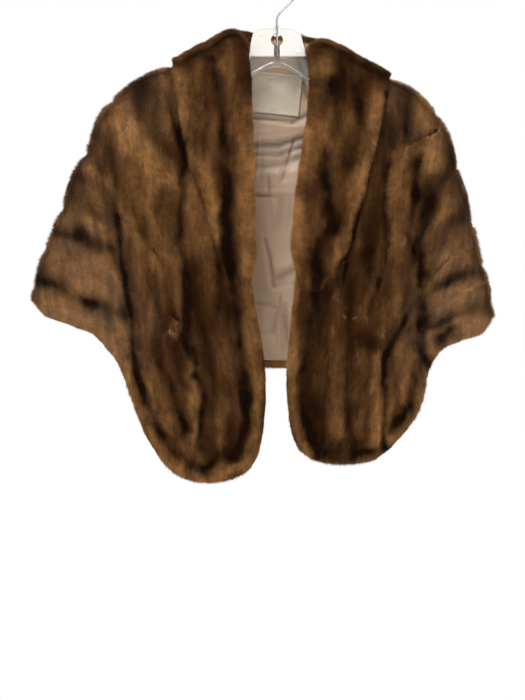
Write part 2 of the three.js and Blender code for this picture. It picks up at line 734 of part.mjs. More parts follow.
function makeWrap() {
  const wrap = new THREE.Group();
  const leftRidge = insetRidge(LEFT);
  const rightRidge = insetRidge(RIGHT);
  const left = frontPanel(LEFT, leftRidge);
  const right = frontPanel(RIGHT, rightRidge);
  const back = backPanel(leftRidge, rightRidge);

  const furLeft = furWall(left, FRONT_U, SPARSE_FRONT_U, true, true);
  const furRight = cutRip(furWall(right, FRONT_U, SPARSE_FRONT_U, true, true));
  wrap.add(piece('fur_front_left', furLeft, BROWN.fur, 0.8));
  wrap.add(piece('fur_front_right', furRight, BROWN.fur, 0.8));
  wrap.add(piece('fur_back', furWall(back, BACK_U, SPARSE_BACK_U, false, false), BROWN.fur, 0.8));
  wrap.add(piece('collar_left', collarHalf(LEFT, left, back), BROWN.collar, 0.8));
  wrap.add(piece('collar_right', collarHalf(RIGHT, right, back), BROWN.collar, 0.8));
  wrap.add(piece('lining_left', liningWall(left, SPARSE_FRONT_U, true), BROWN.lining, 0.45));
  wrap.add(piece('lining_right', liningWall(right, SPARSE_FRONT_U, true), BROWN.lining, 0.45));
  wrap.add(piece('lining_back', liningWall(back, SPARSE_BACK_U, false), BROWN.lining, 0.45));
  wrap.add(piece('label', labelWall(back), 0xd8cfb6, 0.5));
  return wrap;
}

function makeHanger() {
  const hanger = new THREE.Group();
  const clear = { transparent: true, opacity: 0.35 };
  hanger.add(piece('hanger_body', hangerBody(), 0xe8ecee, 0.1, clear));
  hanger.add(piece('hanger_hook', hangerHook(), 0xb8bcc0, 0.25, { metalness: 1 }));
  return hanger;
}

const group = new THREE.Group();
group.add(makeWrap());
group.add(makeHanger());

export default group;
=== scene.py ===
"""A short fur wrap with a shawl collar, hung open on a clear hanger.

Sizes are in millimetres until a mesh is made. The front faces -Y, +Z is up and the
origin is the inside of the hook's crest. Left and right are the viewer's.
"""

import json
import logging
import math
from dataclasses import dataclass
from enum import Enum
from typing import Callable, Sequence

import bmesh
import bpy
import numpy as np
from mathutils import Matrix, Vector

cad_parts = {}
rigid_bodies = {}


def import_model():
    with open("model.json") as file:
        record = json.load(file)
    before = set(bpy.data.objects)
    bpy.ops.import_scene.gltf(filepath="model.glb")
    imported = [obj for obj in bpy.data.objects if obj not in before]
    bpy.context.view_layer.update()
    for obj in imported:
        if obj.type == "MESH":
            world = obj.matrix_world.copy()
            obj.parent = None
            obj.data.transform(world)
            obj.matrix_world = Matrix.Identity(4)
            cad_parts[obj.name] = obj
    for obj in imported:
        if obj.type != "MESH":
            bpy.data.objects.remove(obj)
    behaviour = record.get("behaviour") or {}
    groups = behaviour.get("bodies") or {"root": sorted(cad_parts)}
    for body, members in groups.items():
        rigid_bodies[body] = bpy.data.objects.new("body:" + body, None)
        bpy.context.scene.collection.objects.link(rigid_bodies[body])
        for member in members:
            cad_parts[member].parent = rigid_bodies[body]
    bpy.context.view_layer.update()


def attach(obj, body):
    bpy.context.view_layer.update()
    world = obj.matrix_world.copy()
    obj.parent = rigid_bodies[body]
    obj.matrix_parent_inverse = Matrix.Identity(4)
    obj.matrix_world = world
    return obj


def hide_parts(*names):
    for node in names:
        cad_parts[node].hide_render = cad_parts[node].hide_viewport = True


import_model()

log = logging.getLogger("fur_wrap")
logging.basicConfig(level=logging.INFO, format="%(name)s: %(message)s")

MM = 0.001
PIXEL = 1.6
CREST_COLUMN, CREST_ROW = 277, -33
HASH_STEPS = (73856093, 19349663, 83492791)
HASH_SEED = 2654435761
HASH_MIX = (1103515245, 12345)
HASH_TOP = 0xFFFF
FUR = 11.0
NAP_AT_EDGE = 0.28
EDGE_ROUND = 9.0
LINING_GAP = 0.6
LINING_INSET = 9.0
SEAM_GAP = 0.3
FRONT_DEPTH, FRONT_THINS = 40.0, 0.15
FOOT_DRAWN_IN = 7.0
BACK_DEPTH, BACK_THINS = 42.0, 0.12
FOLD_REACH = 78.0
BORDER = 24.0
BORDER_GROOVE, BORDER_GROOVE_HALF = 2.6, 5.0
PELT_GROOVE, PELT_GROOVE_HALF = 3.0, 5.25
PELT_GROOVE_START = 16.0
PELT_SEAMS = (0.17, 0.38, 0.56, 0.74, 0.88)

Array = np.ndarray


def at_pixel(column: float, row: float) -> tuple[float, float]:
    """The place x, z in the front view, in mm, of a point of the picture."""
    return (column - CREST_COLUMN) * PIXEL, -(row - CREST_ROW) * PIXEL


def smooth(t: Array) -> Array:
    """An even ramp from 0 to 1 with flat ends."""
    t = np.clip(t, 0, 1)
    return t * t * (3 - 2 * t)


def bell(distance: Array, half: float) -> Array:
    """1 at distance 0 and falling evenly to almost 0 at two halves."""
    return np.exp(-((distance / half) ** 2))


def unit(v: Array) -> Array:
    """The same directions with length 1."""
    return v / np.maximum(np.linalg.norm(v, axis=-1, keepdims=True), 1e-9)


def soft_noise(points: Array, size: float, seed: int) -> Array:
    """Smooth noise from -1 to 1 over points in mm.

    Args:
        points: places, the last axis x, y, z.
        size: how far apart its bumps lie.
        seed: picks the pattern.

    Returns:
        One value for each point.
    """
    cell = np.floor(points / size)
    part = smooth(points / size - cell)
    cell = cell.astype(np.int64)
    total = np.zeros(points.shape[:-1])
    for corner in range(8):
        step = np.array([corner & 1, corner >> 1 & 1, corner >> 2 & 1])
        at = cell + step
        mixed = at[..., 0] * HASH_STEPS[0] ^ at[..., 1] * HASH_STEPS[1]
        mixed = (mixed ^ at[..., 2] * HASH_STEPS[2] ^ seed * HASH_SEED) & 0xFFFFFF
        value = mixed * HASH_MIX[0] + HASH_MIX[1] >> 8 & HASH_TOP
        weight = np.prod(np.where(step == 1, part, 1 - part), axis=-1)
        total += weight * (value / (HASH_TOP / 2) - 1)
    return total


def waves(points: Array, seed: int, *layers: tuple) -> Array:
    """Smooth noise of several sizes, added up.

    Args:
        points: places in mm.
        seed: picks the first layer's pattern; each later one takes the next.
        layers: the size and the strength of each.

    Returns:
        One value for each point.
    """
    parts = (soft_noise(points, size, seed + k) * by for k, (size, by) in enumerate(layers))
    return sum(parts)


class Curve:
    """A smooth curve through points, walked by its length."""

    steps: int = 60

    def __init__(self, points: Sequence) -> None:
        """Rounds the line through the points.

        Args:
            points: the places that it passes, in order.
        """
        given = np.asarray(points, float)
        ends = 2 * given[0] - given[1], 2 * given[-1] - given[-2]
        p = np.vstack([ends[0], given, ends[1]])
        t = np.linspace(0, 1, self.steps, endpoint=False)[:, None]
        line = []
        for a, b, c, d in zip(p, p[1:], p[2:], p[3:]):
            before, here, after = (
                max(np.linalg.norm(y - x) ** 0.5, 1e-4) for x, y in ((a, b), (b, c), (c, d))
            )
            start = ((b - a) / before - (c - a) / (before + here) + (c - b) / here) * here
            end = ((c - b) / here - (d - b) / (here + after) + (d - c) / after) * here
            square = -3 * b + 3 * c - 2 * start - end
            line.append(b + start * t + square * t**2 + (2 * b - 2 * c + start + end) * t**3)
        self.line = np.vstack([*line, given[-1]])
        gone = np.linalg.norm(np.diff(self.line, axis=0), axis=1)
        self.reached = np.concatenate([[0], np.cumsum(gone)])
        self.length = float(self.reached[-1])

    def at(self, share: Array) -> Array:
        """The points at shares of the curve's length."""
        d = np.clip(share, 0, 1) * self.length
        found = [np.interp(d, self.reached, self.line[:, k]) for k in range(self.line.shape[1])]
        return np.stack(found, axis=-1)


def upright(rows: Sequence) -> Array:
    """Points x, 0, z of the front view from rows of x and z."""
    return np.array([(x, 0, z) for x, z in rows], float)


def ridge_normal(ridge: Curve, side: int, t: Array) -> Array:
    """The direction out of the outline at a ridge.

    Args:
        ridge: the line over a shoulder.
        side: -1 at the left and 1 at the right.
        t: shares of its length.

    Returns:
        Unit directions in the plane of the front view.
    """
    along = ridge.at(np.clip(t + 2e-3, 0, 1)) - ridge.at(np.clip(t - 2e-3, 0, 1))
    out = np.stack([-along[..., 2] * side, 0 * along[..., 0], along[..., 0] * side], axis=-1)
    return unit(out)


@dataclass(frozen=True)
class Fold:
    """A soft trough between two places of the front view, or a ridge below zero.

    In the lining it is read from the inside, so a depth above zero is a ridge there.
    """

    x1: float
    z1: float
    x2: float
    z2: float
    width: float
    depth: float

    def at(self, x: Array, z: Array) -> Array:
        """How deep the fold is at each place.

        Args:
            x: places across, in mm.
            z: places up, in mm.

        Returns:
            Depths in mm, 0 away from its line.
        """
        dx, dz = self.x2 - self.x1, self.z2 - self.z1
        t = np.clip(((x - self.x1) * dx + (z - self.z1) * dz) / (dx * dx + dz * dz), 0, 1)
        away = np.hypot(x - self.x1 - t * dx, z - self.z1 - t * dz) / self.width
        return self.depth * np.exp(-away * away)


@dataclass(frozen=True)
class FrontCut:
    """The outlines of one front, seen from the front, and its folds."""

    side: int
    ridge: tuple
    hem: tuple
    foot: tuple
    opening: tuple
    collar_edge: tuple
    folds: tuple


LEFT = FrontCut(
    side=-1,
    ridge=(
        (-59, -126), (-139, -146), (-200, -163), (-250, -193), (-288, -236), (-306, -286),
        (-332, -333), (-348, -384), (-370, -437), (-387, -485), (-399, -533),
    ),
    hem=(
        (-186, -784), (-207, -752), (-224, -710), (-238, -670), (-253, -635), (-272, -609),
        (-296, -586), (-331, -572), (-368, -558),
    ),
    foot=(
        (-30, -779), (-45, -802), (-73, -817), (-106, -823), (-139, -819), (-166, -806),
        (-186, -784),
    ),
    opening=(
        (-30, -779), (-23, -741), (-19, -693), (-20, -645), (-29, -581), (-36, -540),
        (-43, -480), (-47, -420), (-49, -341), (-51, -245), (-52, -181),
    ),
    collar_edge=(
        (-163, -100), (-163, -150), (-163, -184), (-156, -216), (-149, -269), (-137, -309),
        (-123, -357), (-108, -408), (-96, -469), (-84, -530),
    ),
    folds=(
        Fold(-150, -270, -143, -500, 20, 8), Fold(-286, -295, -253, -450, 24, 7),
        Fold(-253, -450, -233, -600, 22, 8), Fold(-123, -640, -126, -750, 17, 5),
        Fold(-143, -650, -152, -760, 16, -4), Fold(-205, -380, -185, -560, 26, -6),
        Fold(-95, -420, -87, -640, 18, 4),
    ),
)
RIGHT = FrontCut(
    side=1,
    ridge=(
        (64, -131), (117, -151), (173, -172), (221, -193), (256, -228), (281, -272),
        (296, -328), (311, -381), (324, -442), (339, -496), (353, -558),
    ),
    hem=(
        (181, -768), (203, -744), (222, -715), (234, -682), (239, -652), (248, -629),
        (264, -611), (292, -597), (326, -585),
    ),
    foot=(
        (27, -754), (37, -771), (57, -785), (91, -793), (126, -792), (158, -785), (181, -768),
    ),
    opening=(
        (27, -754), (22, -733), (17, -685), (16, -645), (20, -597), (24, -560), (30, -500),
        (37, -408), (44, -349), (54, -272), (62, -208),
    ),
    collar_edge=(
        (176, -100), (176, -179), (174, -200), (166, -237), (158, -277), (147, -318),
        (133, -381), (119, -443), (102, -506), (86, -560),
    ),
    folds=(
        Fold(212, -290, 222, -440, 24, 8), Fold(222, -440, 226, -570, 22, 9),
        Fold(174, -293, 168, -480, 18, 6), Fold(206, -560, 168, -620, 20, 6),
        Fold(165, -640, 166, -740, 17, 5), Fold(150, -640, 153, -740, 15, -4),
        Fold(274, -330, 291, -520, 34, -7), Fold(118, -520, 110, -700, 20, 4),
    ),
)
BACK_NECK = ((-36, -131), (0, -132), (37, -134))
BACK_HEM = (
    (-317, -566), (-219, -604), (-107, -631), (0, -641), (109, -636), (213, -618), (287, -601),
)
BACK_FOLDS = (
    Fold(-130, -330, -170, -640, 34, 8), Fold(-55, -360, -67, -650, 30, -6),
    Fold(33, -350, 39, -650, 34, 7), Fold(117, -330, 153, -640, 30, -6),
    Fold(210, -330, 241, -630, 26, 6), Fold(-230, -340, -285, -590, 30, -5),
)


def inset_ridge(cut: FrontCut) -> Curve:
    """The ridge of the pelt's inner side, one fur's depth inside the outline.

    Args:
        cut: the front whose ridge it is.

    Returns:
        The line in the plane of the front view.
    """
    outline = Curve(upright(cut.ridge))
    t = np.linspace(0, 1, 2 * len(cut.ridge) + 1)
    return Curve(outline.at(t) - ridge_normal(outline, cut.side, t) * FUR)


def turned(distance: Array) -> Array:
    """A quarter ellipse: 0 at a ridge and 1 where the side has turned."""
    return np.sqrt(1 - (1 - np.clip(distance / FOLD_REACH, 0, 1)) ** 2)


class Panel:
    """A part of the strip between four edge curves, on the pelt's inner side."""

    measured: int = 81
    small_step: float = 2e-3

    def __init__(self, low: Curve, high: Curve, start: Curve, end: Curve, facing: int) -> None:
        """Keeps the edges and measures the panel.

        Args:
            low: the edge at v = 0.
            high: the edge at v = 1.
            start: the edge at u = 0.
            end: the edge at u = 1.
            facing: 1 where u by v points out of the wrap, or else -1.
        """
        self.edges = low, high, start, end
        self.facing = facing
        self.stations = np.linspace(0, 1, self.measured)
        u, v = np.meshgrid(self.stations, self.stations, indexing="ij")
        p = self.point(u, v)
        self.widths = np.linalg.norm(np.diff(p, axis=1), axis=2).sum(1)
        self.lengths = np.linalg.norm(np.diff(p, axis=0), axis=2).sum(0)

    def plan(self, u: Array, v: Array) -> Array:
        """The panel's points in the plane of the front view.

        Args:
            u: places along the strip, from 0 to 1.
            v: places across it, from 0 to 1.

        Returns:
            Points blended from the four edges, in mm.
        """
        low, high, start, end = self.edges
        u1, v1 = u[..., None], v[..., None]
        p = low.at(u) * (1 - v1) + high.at(u) * v1 + start.at(v) * (1 - u1) + end.at(v) * u1
        p -= (1 - u1) * ((1 - v1) * start.line[0] + v1 * start.line[-1])
        return p - u1 * ((1 - v1) * end.line[0] + v1 * end.line[-1])

    def reach(self, v: Array) -> Array:
        """The strip's length at each place across."""
        low, high = self.edges[:2]
        return low.length + (high.length - low.length) * v

    def point(self, u: Array, v: Array) -> Array:
        """The panel's points in space."""
        raise NotImplementedError

    def steps(self, u: Array, v: Array) -> tuple[Array, Array]:
        """Directions in the surface, by small steps.

        Args:
            u: places along the strip.
            v: places across it.

        Returns:
            Unit directions along u, and along v.
        """
        h = self.small_step
        along = self.point(np.minimum(u + h, 1), v) - self.point(np.maximum(u - h, 0), v)
        across = self.point(u, np.minimum(v + h, 1)) - self.point(u, np.maximum(v - h, 0))
        return unit(along), unit(across)

    def normal(self, u: Array, v: Array) -> Array:
        """Directions out of the wrap."""
        along, across = self.steps(u, v)
        return unit(np.cross(along, across)) * self.facing

    def width(self, u: Array) -> Array:
        """The distance across at stations u."""
        return np.interp(u, self.stations, self.widths)

    def length(self, v: Array) -> Array:
        """The distance along at places v."""
        return np.interp(v, self.stations, self.lengths)


class FrontPanel(Panel):
    """One hanging front, from its foot to the shoulder."""

    def __init__(self, cut: FrontCut, ridge: Curve) -> None:
        """Blends the front's outlines.

        Args:
            cut: its outlines and folds.
            ridge: the line where it turns over into the back.
        """
        self.cut, self.ridge = cut, ridge
        opening = Curve(np.vstack([upright(cut.opening), ridge.line[0]]))
        hem = Curve(np.vstack([upright(cut.hem), ridge.line[-1]]))
        super().__init__(opening, hem, Curve(upright(cut.foot)), ridge, -cut.side)

    def point(self, u: Array, v: Array) -> Array:
        """The front's points in space.

        Args:
            u: places from the foot to the shoulder.
            v: places from the opening to the hem.

        Returns:
            Points in mm, folded and turned over at the shoulder.
        """
        p = self.plan(u, v)
        out = turned((1 - u) * self.reach(v))
        hang = FRONT_DEPTH * (1 - FRONT_THINS * v) - FOOT_DRAWN_IN * (1 - u) ** 2
        deep = sum(f.at(p[..., 0], p[..., 2]) for f in self.cut.folds)
        p[..., 1] = -out * (hang - out * deep) - SEAM_GAP / 2
        return p

    def normal(self, u: Array, v: Array) -> Array:
        """Directions out of the front, shared with the back at the ridge."""
        fixed = ridge_normal(self.ridge, self.cut.side, v)
        return np.where((u > 0.9999)[..., None], fixed, super().normal(u, v))


class BackPanel(Panel):
    """The back, from one shoulder fold to the other."""

    def __init__(self, left: Curve, right: Curve) -> None:
        """Blends the neck, the hem and the two ridges.

        Args:
            left: the ridge over the left shoulder.
            right: the ridge over the right shoulder.
        """
        self.ridges = left, right
        neck = Curve(np.vstack([left.line[0], upright(BACK_NECK), right.line[0]]))
        hem = Curve(np.vstack([left.line[-1], upright(BACK_HEM), right.line[-1]]))
        super().__init__(neck, hem, left, right, 1)

    def point(self, u: Array, v: Array) -> Array:
        """The back's points in space.

        Args:
            u: places from the left shoulder to the right one.
            v: places from the neck to the hem.

        Returns:
            Points in mm, with the folds starting below the neck.
        """
        p = self.plan(u, v)
        out = turned(u * self.reach(v)) * turned((1 - u) * self.reach(v))
        deep = smooth(v * 3) * sum(f.at(p[..., 0], p[..., 2]) for f in BACK_FOLDS)
        p[..., 1] = out * (BACK_DEPTH * (1 - BACK_THINS * v) - out * deep) + SEAM_GAP / 2
        return p

    def normal(self, u: Array, v: Array) -> Array:
        """Directions out of the back, shared with the fronts at the ridges."""
        left, right = (ridge_normal(r, s, v) for r, s in zip(self.ridges, (-1, 1)))
        n = np.where((u < 1e-4)[..., None], left, super().normal(u, v))
        return np.where((u > 0.9999)[..., None], right, n)


def rounded_edge(to_edge: Array) -> Array:
    """The share of the nap's height at distances from a free edge."""
    arc = np.sqrt(1 - (1 - np.clip(to_edge / EDGE_ROUND, 0, 1)) ** 2)
    return NAP_AT_EDGE + (1 - NAP_AT_EDGE) * arc


def nap_height(to_edge: Array, share: Array, span: Array) -> Array:
    """The nap's height over the pelt's inner side.

    Args:
        to_edge: distance to the nearest free edge.
        share: place across between the borders, from 0 to 1.
        span: width between the borders.

    Returns:
        Heights in mm.
    """
    border = BORDER_GROOVE * bell(to_edge - BORDER, BORDER_GROOVE_HALF)
    seams = sum(PELT_GROOVE * bell((share - s) * span, PELT_GROOVE_HALF) for s in PELT_SEAMS)
    inside = smooth((to_edge - BORDER) / PELT_GROOVE_START)
    return FUR * rounded_edge(to_edge) - border - inside * seams


# Meshes


def grid_faces(rows: int, columns: int, first: int = 0) -> Array:
    """Quads over a grid of points numbered row by row from first."""
    i, j = np.meshgrid(np.arange(rows - 1), np.arange(columns - 1), indexing="ij")
    a = (i * columns + j).ravel() + first
    return np.stack([a, a + columns, a + columns + 1, a + 1], axis=1)


def linked(name: str, mesh: bpy.types.Mesh) -> bpy.types.Object:
    """A new object of the scene that shows a mesh."""
    ob = bpy.data.objects.new(name, mesh)
    bpy.context.collection.objects.link(ob)
    return ob


def mesh_object(name: str, points: Array, faces: Array) -> bpy.types.Object:
    """A smooth shaded mesh object.

    Args:
        name: the object's name.
        points: places in mm.
        faces: the points of each face, all faces with as many.

    Returns:
        The object, linked to the scene.
    """
    mesh = bpy.data.meshes.new(name)
    corners = faces.shape[1]
    mesh.vertices.add(len(points))
    mesh.vertices.foreach_set("co", (np.asarray(points) * MM).astype(np.float32).ravel())
    mesh.loops.add(faces.size)
    mesh.loops.foreach_set("vertex_index", faces.astype(np.int32).ravel())
    mesh.polygons.add(len(faces))
    mesh.polygons.foreach_set("loop_start", np.arange(len(faces), dtype=np.int32) * corners)
    mesh.polygons.foreach_set("use_smooth", np.ones(len(faces), bool))
    mesh.update(calc_edges=True)
    return linked(name, mesh)


def face_outwards(ob: bpy.types.Object, weld: float = 0.0) -> None:
    """Turns the faces of a closed mesh outwards.

    Args:
        ob: the object.
        weld: how near points are made one first, in metres, where above 0.
    """
    bm = bmesh.new()
    bm.from_mesh(ob.data)
    if weld:
        bmesh.ops.remove_doubles(bm, verts=bm.verts, dist=weld)
    bmesh.ops.recalc_face_normals(bm, faces=bm.faces)
    bm.to_mesh(ob.data)
    bm.free()


def solid_object(name: str, solids: Sequence) -> bpy.types.Object:
    """One object made of several closed solids.

    Args:
        name: the object's name.
        solids: the points in mm and the faces of each.

    Returns:
        The object, linked to the scene.
    """
    bm = bmesh.new()
    for points, faces in solids:
        made = [bm.verts.new(Vector(p) * MM) for p in points]
        for face in faces:
            bm.faces.new([made[k] for k in face])
    bmesh.ops.recalc_face_normals(bm, faces=bm.faces)
    mesh = bpy.data.meshes.new(name)
    bm.to_mesh(mesh)
    bm.free()
    return linked(name, mesh)


def prism_faces(sides: int) -> list[tuple]:
    """The faces of a solid between two rings of points, numbered one after the other."""
    ends = [tuple(range(sides)), tuple(range(2 * sides - 1, sides - 1, -1))]
    after = [(i + 1) % sides for i in range(sides)]
    return ends + [(i, j, sides + j, sides + i) for i, j in enumerate(after)]


def subtract(ob: bpy.types.Object, cutter: bpy.types.Object) -> None:
    """Gives an object a cut by another one."""
    tool = ob.modifiers.new(cutter.name, "BOOLEAN")
    tool.operation, tool.object, tool.solver = "DIFFERENCE", cutter, "EXACT"


def apply_all(ob: bpy.types.Object) -> bpy.types.Mesh:
    """Makes the result of an object's modifiers its mesh.

    Args:
        ob: the object, left with no modifiers.

    Returns:
        The new mesh.
    """
    shown = ob.evaluated_get(bpy.context.evaluated_depsgraph_get())
    done = bpy.data.meshes.new_from_object(shown)
    ob.modifiers.clear()
    ob.data = done
    return done


def shell_object(name: str, outer: Array, inner: Array) -> bpy.types.Object:
    """A closed thin shell between two equal grids of points.

    Args:
        name: the object's name.
        outer: the grid of one side, in mm.
        inner: the grid of the other side.

    Returns:
        The object, linked to the scene.
    """
    rows, columns = outer.shape[:2]
    first = rows * columns
    top = grid_faces(rows, columns)
    bottom = grid_faces(rows, columns, first)[:, ::-1]
    ids = np.arange(first).reshape(rows, columns)
    rim = np.concatenate([ids[:, 0], ids[-1, 1:], ids[-2::-1, -1], ids[0, -2:0:-1]])
    after = np.roll(rim, -1)
    side = np.stack([after, rim, rim + first, after + first], axis=1)
    points = np.vstack([outer.reshape(-1, 3), inner.reshape(-1, 3)])
    ob = mesh_object(name, points, np.vstack([top, bottom, side]))
    face_outwards(ob)
    return ob


def paint(ob: bpy.types.Object, name: str, colours: Array) -> None:
    """Stores a colour for each point of a mesh."""
    layer = ob.data.color_attributes.new(name=name, type="FLOAT_COLOR", domain="POINT")
    layer.data.foreach_set("color", colours.astype(np.float32).ravel())


def map_points(ob: bpy.types.Object, places: Array) -> None:
    """Gives a mesh its bake map.

    Args:
        ob: the mesh's object.
        places: a place in the unit square for each point.
    """
    layer = ob.data.uv_layers.new(name="OFBake")
    loops = np.empty(len(ob.data.loops), np.int32)
    ob.data.loops.foreach_get("vertex_index", loops)
    layer.data.foreach_set("uv", places[loops].astype(np.float32).ravel())


# Finishes


class Shader:
    """A material's node tree, built one node at a time."""

    def __init__(self, name: str, **values: object) -> None:
        """Starts from a plain surface shader.

        Args:
            name: the finish's name.
            values: the shader's own sockets, spaces written as underscores.
        """
        self.material = bpy.data.materials.new(name)
        self.material.use_nodes = True
        self.tree = self.material.node_tree
        self.surface = self.tree.nodes["Principled BSDF"]
        for key, value in values.items():
            self.surface.inputs[key.replace("_", " ")].default_value = value

    def add(self, kind: str, inputs: dict | None = None, **settings: object) -> bpy.types.Node:
        """Adds a node.

        Args:
            kind: its type.
            inputs: values for its sockets, or other nodes' sockets to link to them.
            settings: its own properties.

        Returns:
            The node.
        """
        node = self.tree.nodes.new(kind)
        for key, value in settings.items():
            setattr(node, key, value)
        for key, value in (inputs or {}).items():
            if isinstance(value, bpy.types.NodeSocket):
                self.tree.links.new(value, node.inputs[key])
            else:
                node.inputs[key].default_value = value
        return node

    def math(self, operation: str, a: object, b: object = 0.0) -> bpy.types.NodeSocket:
        """The result of one sum on two values or sockets."""
        return self.add("ShaderNodeMath", {0: a, 1: b}, operation=operation).outputs[0]

    def ranged(
        self, value: object, to: tuple = (0.0, 1.0), given: tuple = (0.0, 1.0)
    ) -> bpy.types.NodeSocket:
        """A value carried from one range to another and held at its ends.

        Args:
            value: the value or socket.
            to: the ends of the new range.
            given: the ends of the range that it comes in.

        Returns:
            The result's socket.
        """
        ends = dict(zip(("To Min", "To Max", "From Min", "From Max"), (*to, *given)))
        return self.add("ShaderNodeMapRange", {"Value": value, **ends}).outputs[0]

    def mix(
        self, factor: object, a: object, b: object, blend: str = "MIX"
    ) -> bpy.types.NodeSocket:
        """Two colours blended by a factor.

        Args:
            factor: the second colour's share.
            a: the first colour.
            b: the second colour.
            blend: the way of blending.

        Returns:
            The colour's socket.
        """
        node = self.add(
            "ShaderNodeMix", {0: factor, 6: a, 7: b}, data_type="RGBA", blend_type=blend
        )
        return node.outputs[2]

    def noise(
        self, scale: float, detail: float = 2.0, stretch: tuple = (1, 1, 1)
    ) -> bpy.types.NodeSocket:
        """Noise over the object's own coordinates.

        Args:
            scale: bumps to a metre.
            detail: how many finer layers it has.
            stretch: the scale along each axis.

        Returns:
            Its value's socket.
        """
        place = self.add("ShaderNodeTexCoord").outputs["Object"]
        scaled = self.add("ShaderNodeMapping", {"Vector": place, "Scale": stretch})
        node = self.add(
            "ShaderNodeTexNoise",
            {"Vector": scaled.outputs[0], "Scale": scale, "Detail": detail},
        )
        return node.outputs["Fac"]

    def bump(self, height: bpy.types.NodeSocket, distance: float, strength: float) -> None:
        """Raises the surface's light and shade.

        Args:
            height: the socket of the height, from 0 to 1.
            distance: the height at 1, in metres.
            strength: the bump's share.
        """
        node = self.add(
            "ShaderNodeBump", {"Height": height, "Distance": distance, "Strength": strength}
        )
        self.link(node.outputs[0], "Normal")

    def glow(self, colour: bpy.types.NodeSocket, share: float) -> None:
        """Lets light through, as thin hairs do.

        Args:
            colour: the socket of the light's colour.
            share: how much goes through.
        """
        through = self.add("ShaderNodeBsdfTranslucent", {"Color": colour})
        both = self.add(
            "ShaderNodeMixShader", {0: share, 1: self.surface.outputs[0], 2: through.outputs[0]}
        )
        self.tree.links.new(both.outputs[0], self.tree.nodes["Material Output"].inputs[0])

    def link(self, socket: bpy.types.NodeSocket, name: str) -> None:
        """Feeds a socket into the surface shader."""
        self.tree.links.new(socket, self.surface.inputs[name])


@dataclass(frozen=True)
class MinkFinish:
    """Brown mink with dark stripes and golden flanks."""

    name: str
    brown: tuple = (0.077, 0.0276, 0.0076, 1)
    dark: tuple = (0.0105, 0.0036, 0.0014, 1)
    gold: tuple = (0.365, 0.182, 0.064, 1)
    # pale colour for worn spots and the bare facing, and for the painted sheen on shoulders and
    # sleeve tips
    worn: tuple = (0.50, 0.35, 0.24, 1)
    # near-black colour for the pelt under the hairs: partly the underwool's own tone, partly
    # painted shade deep in the fur
    underwool: tuple = (0.03, 0.012, 0.006, 1)
    patchy: float = 0.35
    stripe_ends: tuple = (0.08, 0.93)
    hair_levels: tuple = (0.45, 1.6)
    glow: float = 0.45

    def make(self, is_nap: bool) -> bpy.types.Material:
        """The material.

        Args:
            is_nap: whether it is for the hairs, or else for the pelt under them.

        Returns:
            It. Each point's coat colour holds its stripe, gold, chance and wear; the stripe also
            carries painted shade, the gold painted light and the wear a painted sheen.
        """
        s = Shader(
            self.name, Roughness=0.6, Specular_IOR_Level=0.04,
            Specular_Tint=(1.0, 0.72, 0.5, 1), Sheen_Weight=0.07, Sheen_Roughness=0.4,
            Sheen_Tint=(1.0, 0.82, 0.66, 1),
        )
        coat = s.add("ShaderNodeVertexColor", layer_name="coat")
        parts = s.add("ShaderNodeSeparateColor", {"Color": coat.outputs["Color"]})
        stripe, gold, chance = parts.outputs
        uneven = s.ranged(s.noise(26, 3, (1, 1, 0.45)), to=(-self.patchy, self.patchy))
        dark_here = s.ranged(s.math("ADD", stripe, uneven), given=self.stripe_ends)
        gold_here = s.math("MULTIPLY", gold, s.math("ADD", s.noise(90, 3), 0.45))
        colour = s.mix(gold_here, self.brown, self.gold)
        colour = s.mix(dark_here, colour, self.dark)
        level = s.ranged(chance, to=self.hair_levels)
        grey = s.add("ShaderNodeCombineColor", {k: level for k in range(3)})
        colour = s.mix(1.0, colour, grey.outputs[0], "MULTIPLY")
        colour = s.mix(coat.outputs["Alpha"], colour, self.worn)
        # the pelt is mixed towards underwool: partly its own tone, partly painted shade under the
        # hairs
        if not is_nap:
            colour = s.mix(0.3, colour, self.underwool)
        s.link(colour, "Base Color")
        if is_nap:
            s.glow(colour, self.glow)
        else:
            s.bump(s.noise(900, 3, (1, 1, 0.2)), 0.002, 0.6)
        return s.material


@dataclass(frozen=True)
class SatinFinish:
    """Worn taupe satin with a fine twill and a soft gloss."""

    name: str
    light: tuple = (0.40, 0.278, 0.182, 1)
    shade: tuple = (0.25, 0.158, 0.096, 1)
    # near-black colour of the painted shade in the lining's creases
    deep: tuple = (0.050, 0.031, 0.020, 1)

    def make(self) -> bpy.types.Material:
        """The material, with threads running down the cloth and painted shade in its creases."""
        s = Shader(
            self.name, Roughness=0.42, Specular_IOR_Level=0.45, Sheen_Weight=0.3,
            Sheen_Roughness=0.35,
        )
        cloud = s.noise(14, 3, (1, 1, 0.5))
        thread = s.noise(1500, 1, (1, 1, 0.06))
        tone = s.math("ADD", s.math("MULTIPLY", cloud, 0.8), s.math("MULTIPLY", thread, 0.3))
        colour = s.mix(s.math("SUBTRACT", tone, 0.05), self.shade, self.light)
        # each point's painted crease shade darkens the satin towards deep
        crease_shade = s.add("ShaderNodeVertexColor", layer_name="crease_shade")
        s.link(s.mix(crease_shade.outputs["Color"], colour, self.deep), "Base Color")
        s.bump(thread, 0.0004, 0.35)
        return s.material


@dataclass(frozen=True)
class LabelFinish:
    """Cream woven satin, a little soiled."""

    name: str
    cream: tuple = (0.48, 0.40, 0.285, 1)
    soil: tuple = (0.24, 0.20, 0.145, 1)

    def make(self) -> bpy.types.Material:
        """The material, with a fine rib across."""
        s = Shader(self.name, Roughness=0.45, Sheen_Weight=0.3)
        cloud = s.math("MULTIPLY", s.noise(28, 4), 0.9)
        s.link(s.mix(cloud, self.soil, self.cream), "Base Color")
        s.bump(s.noise(1900, 1, (0.05, 1, 1)), 0.0004, 0.4)
        return s.material


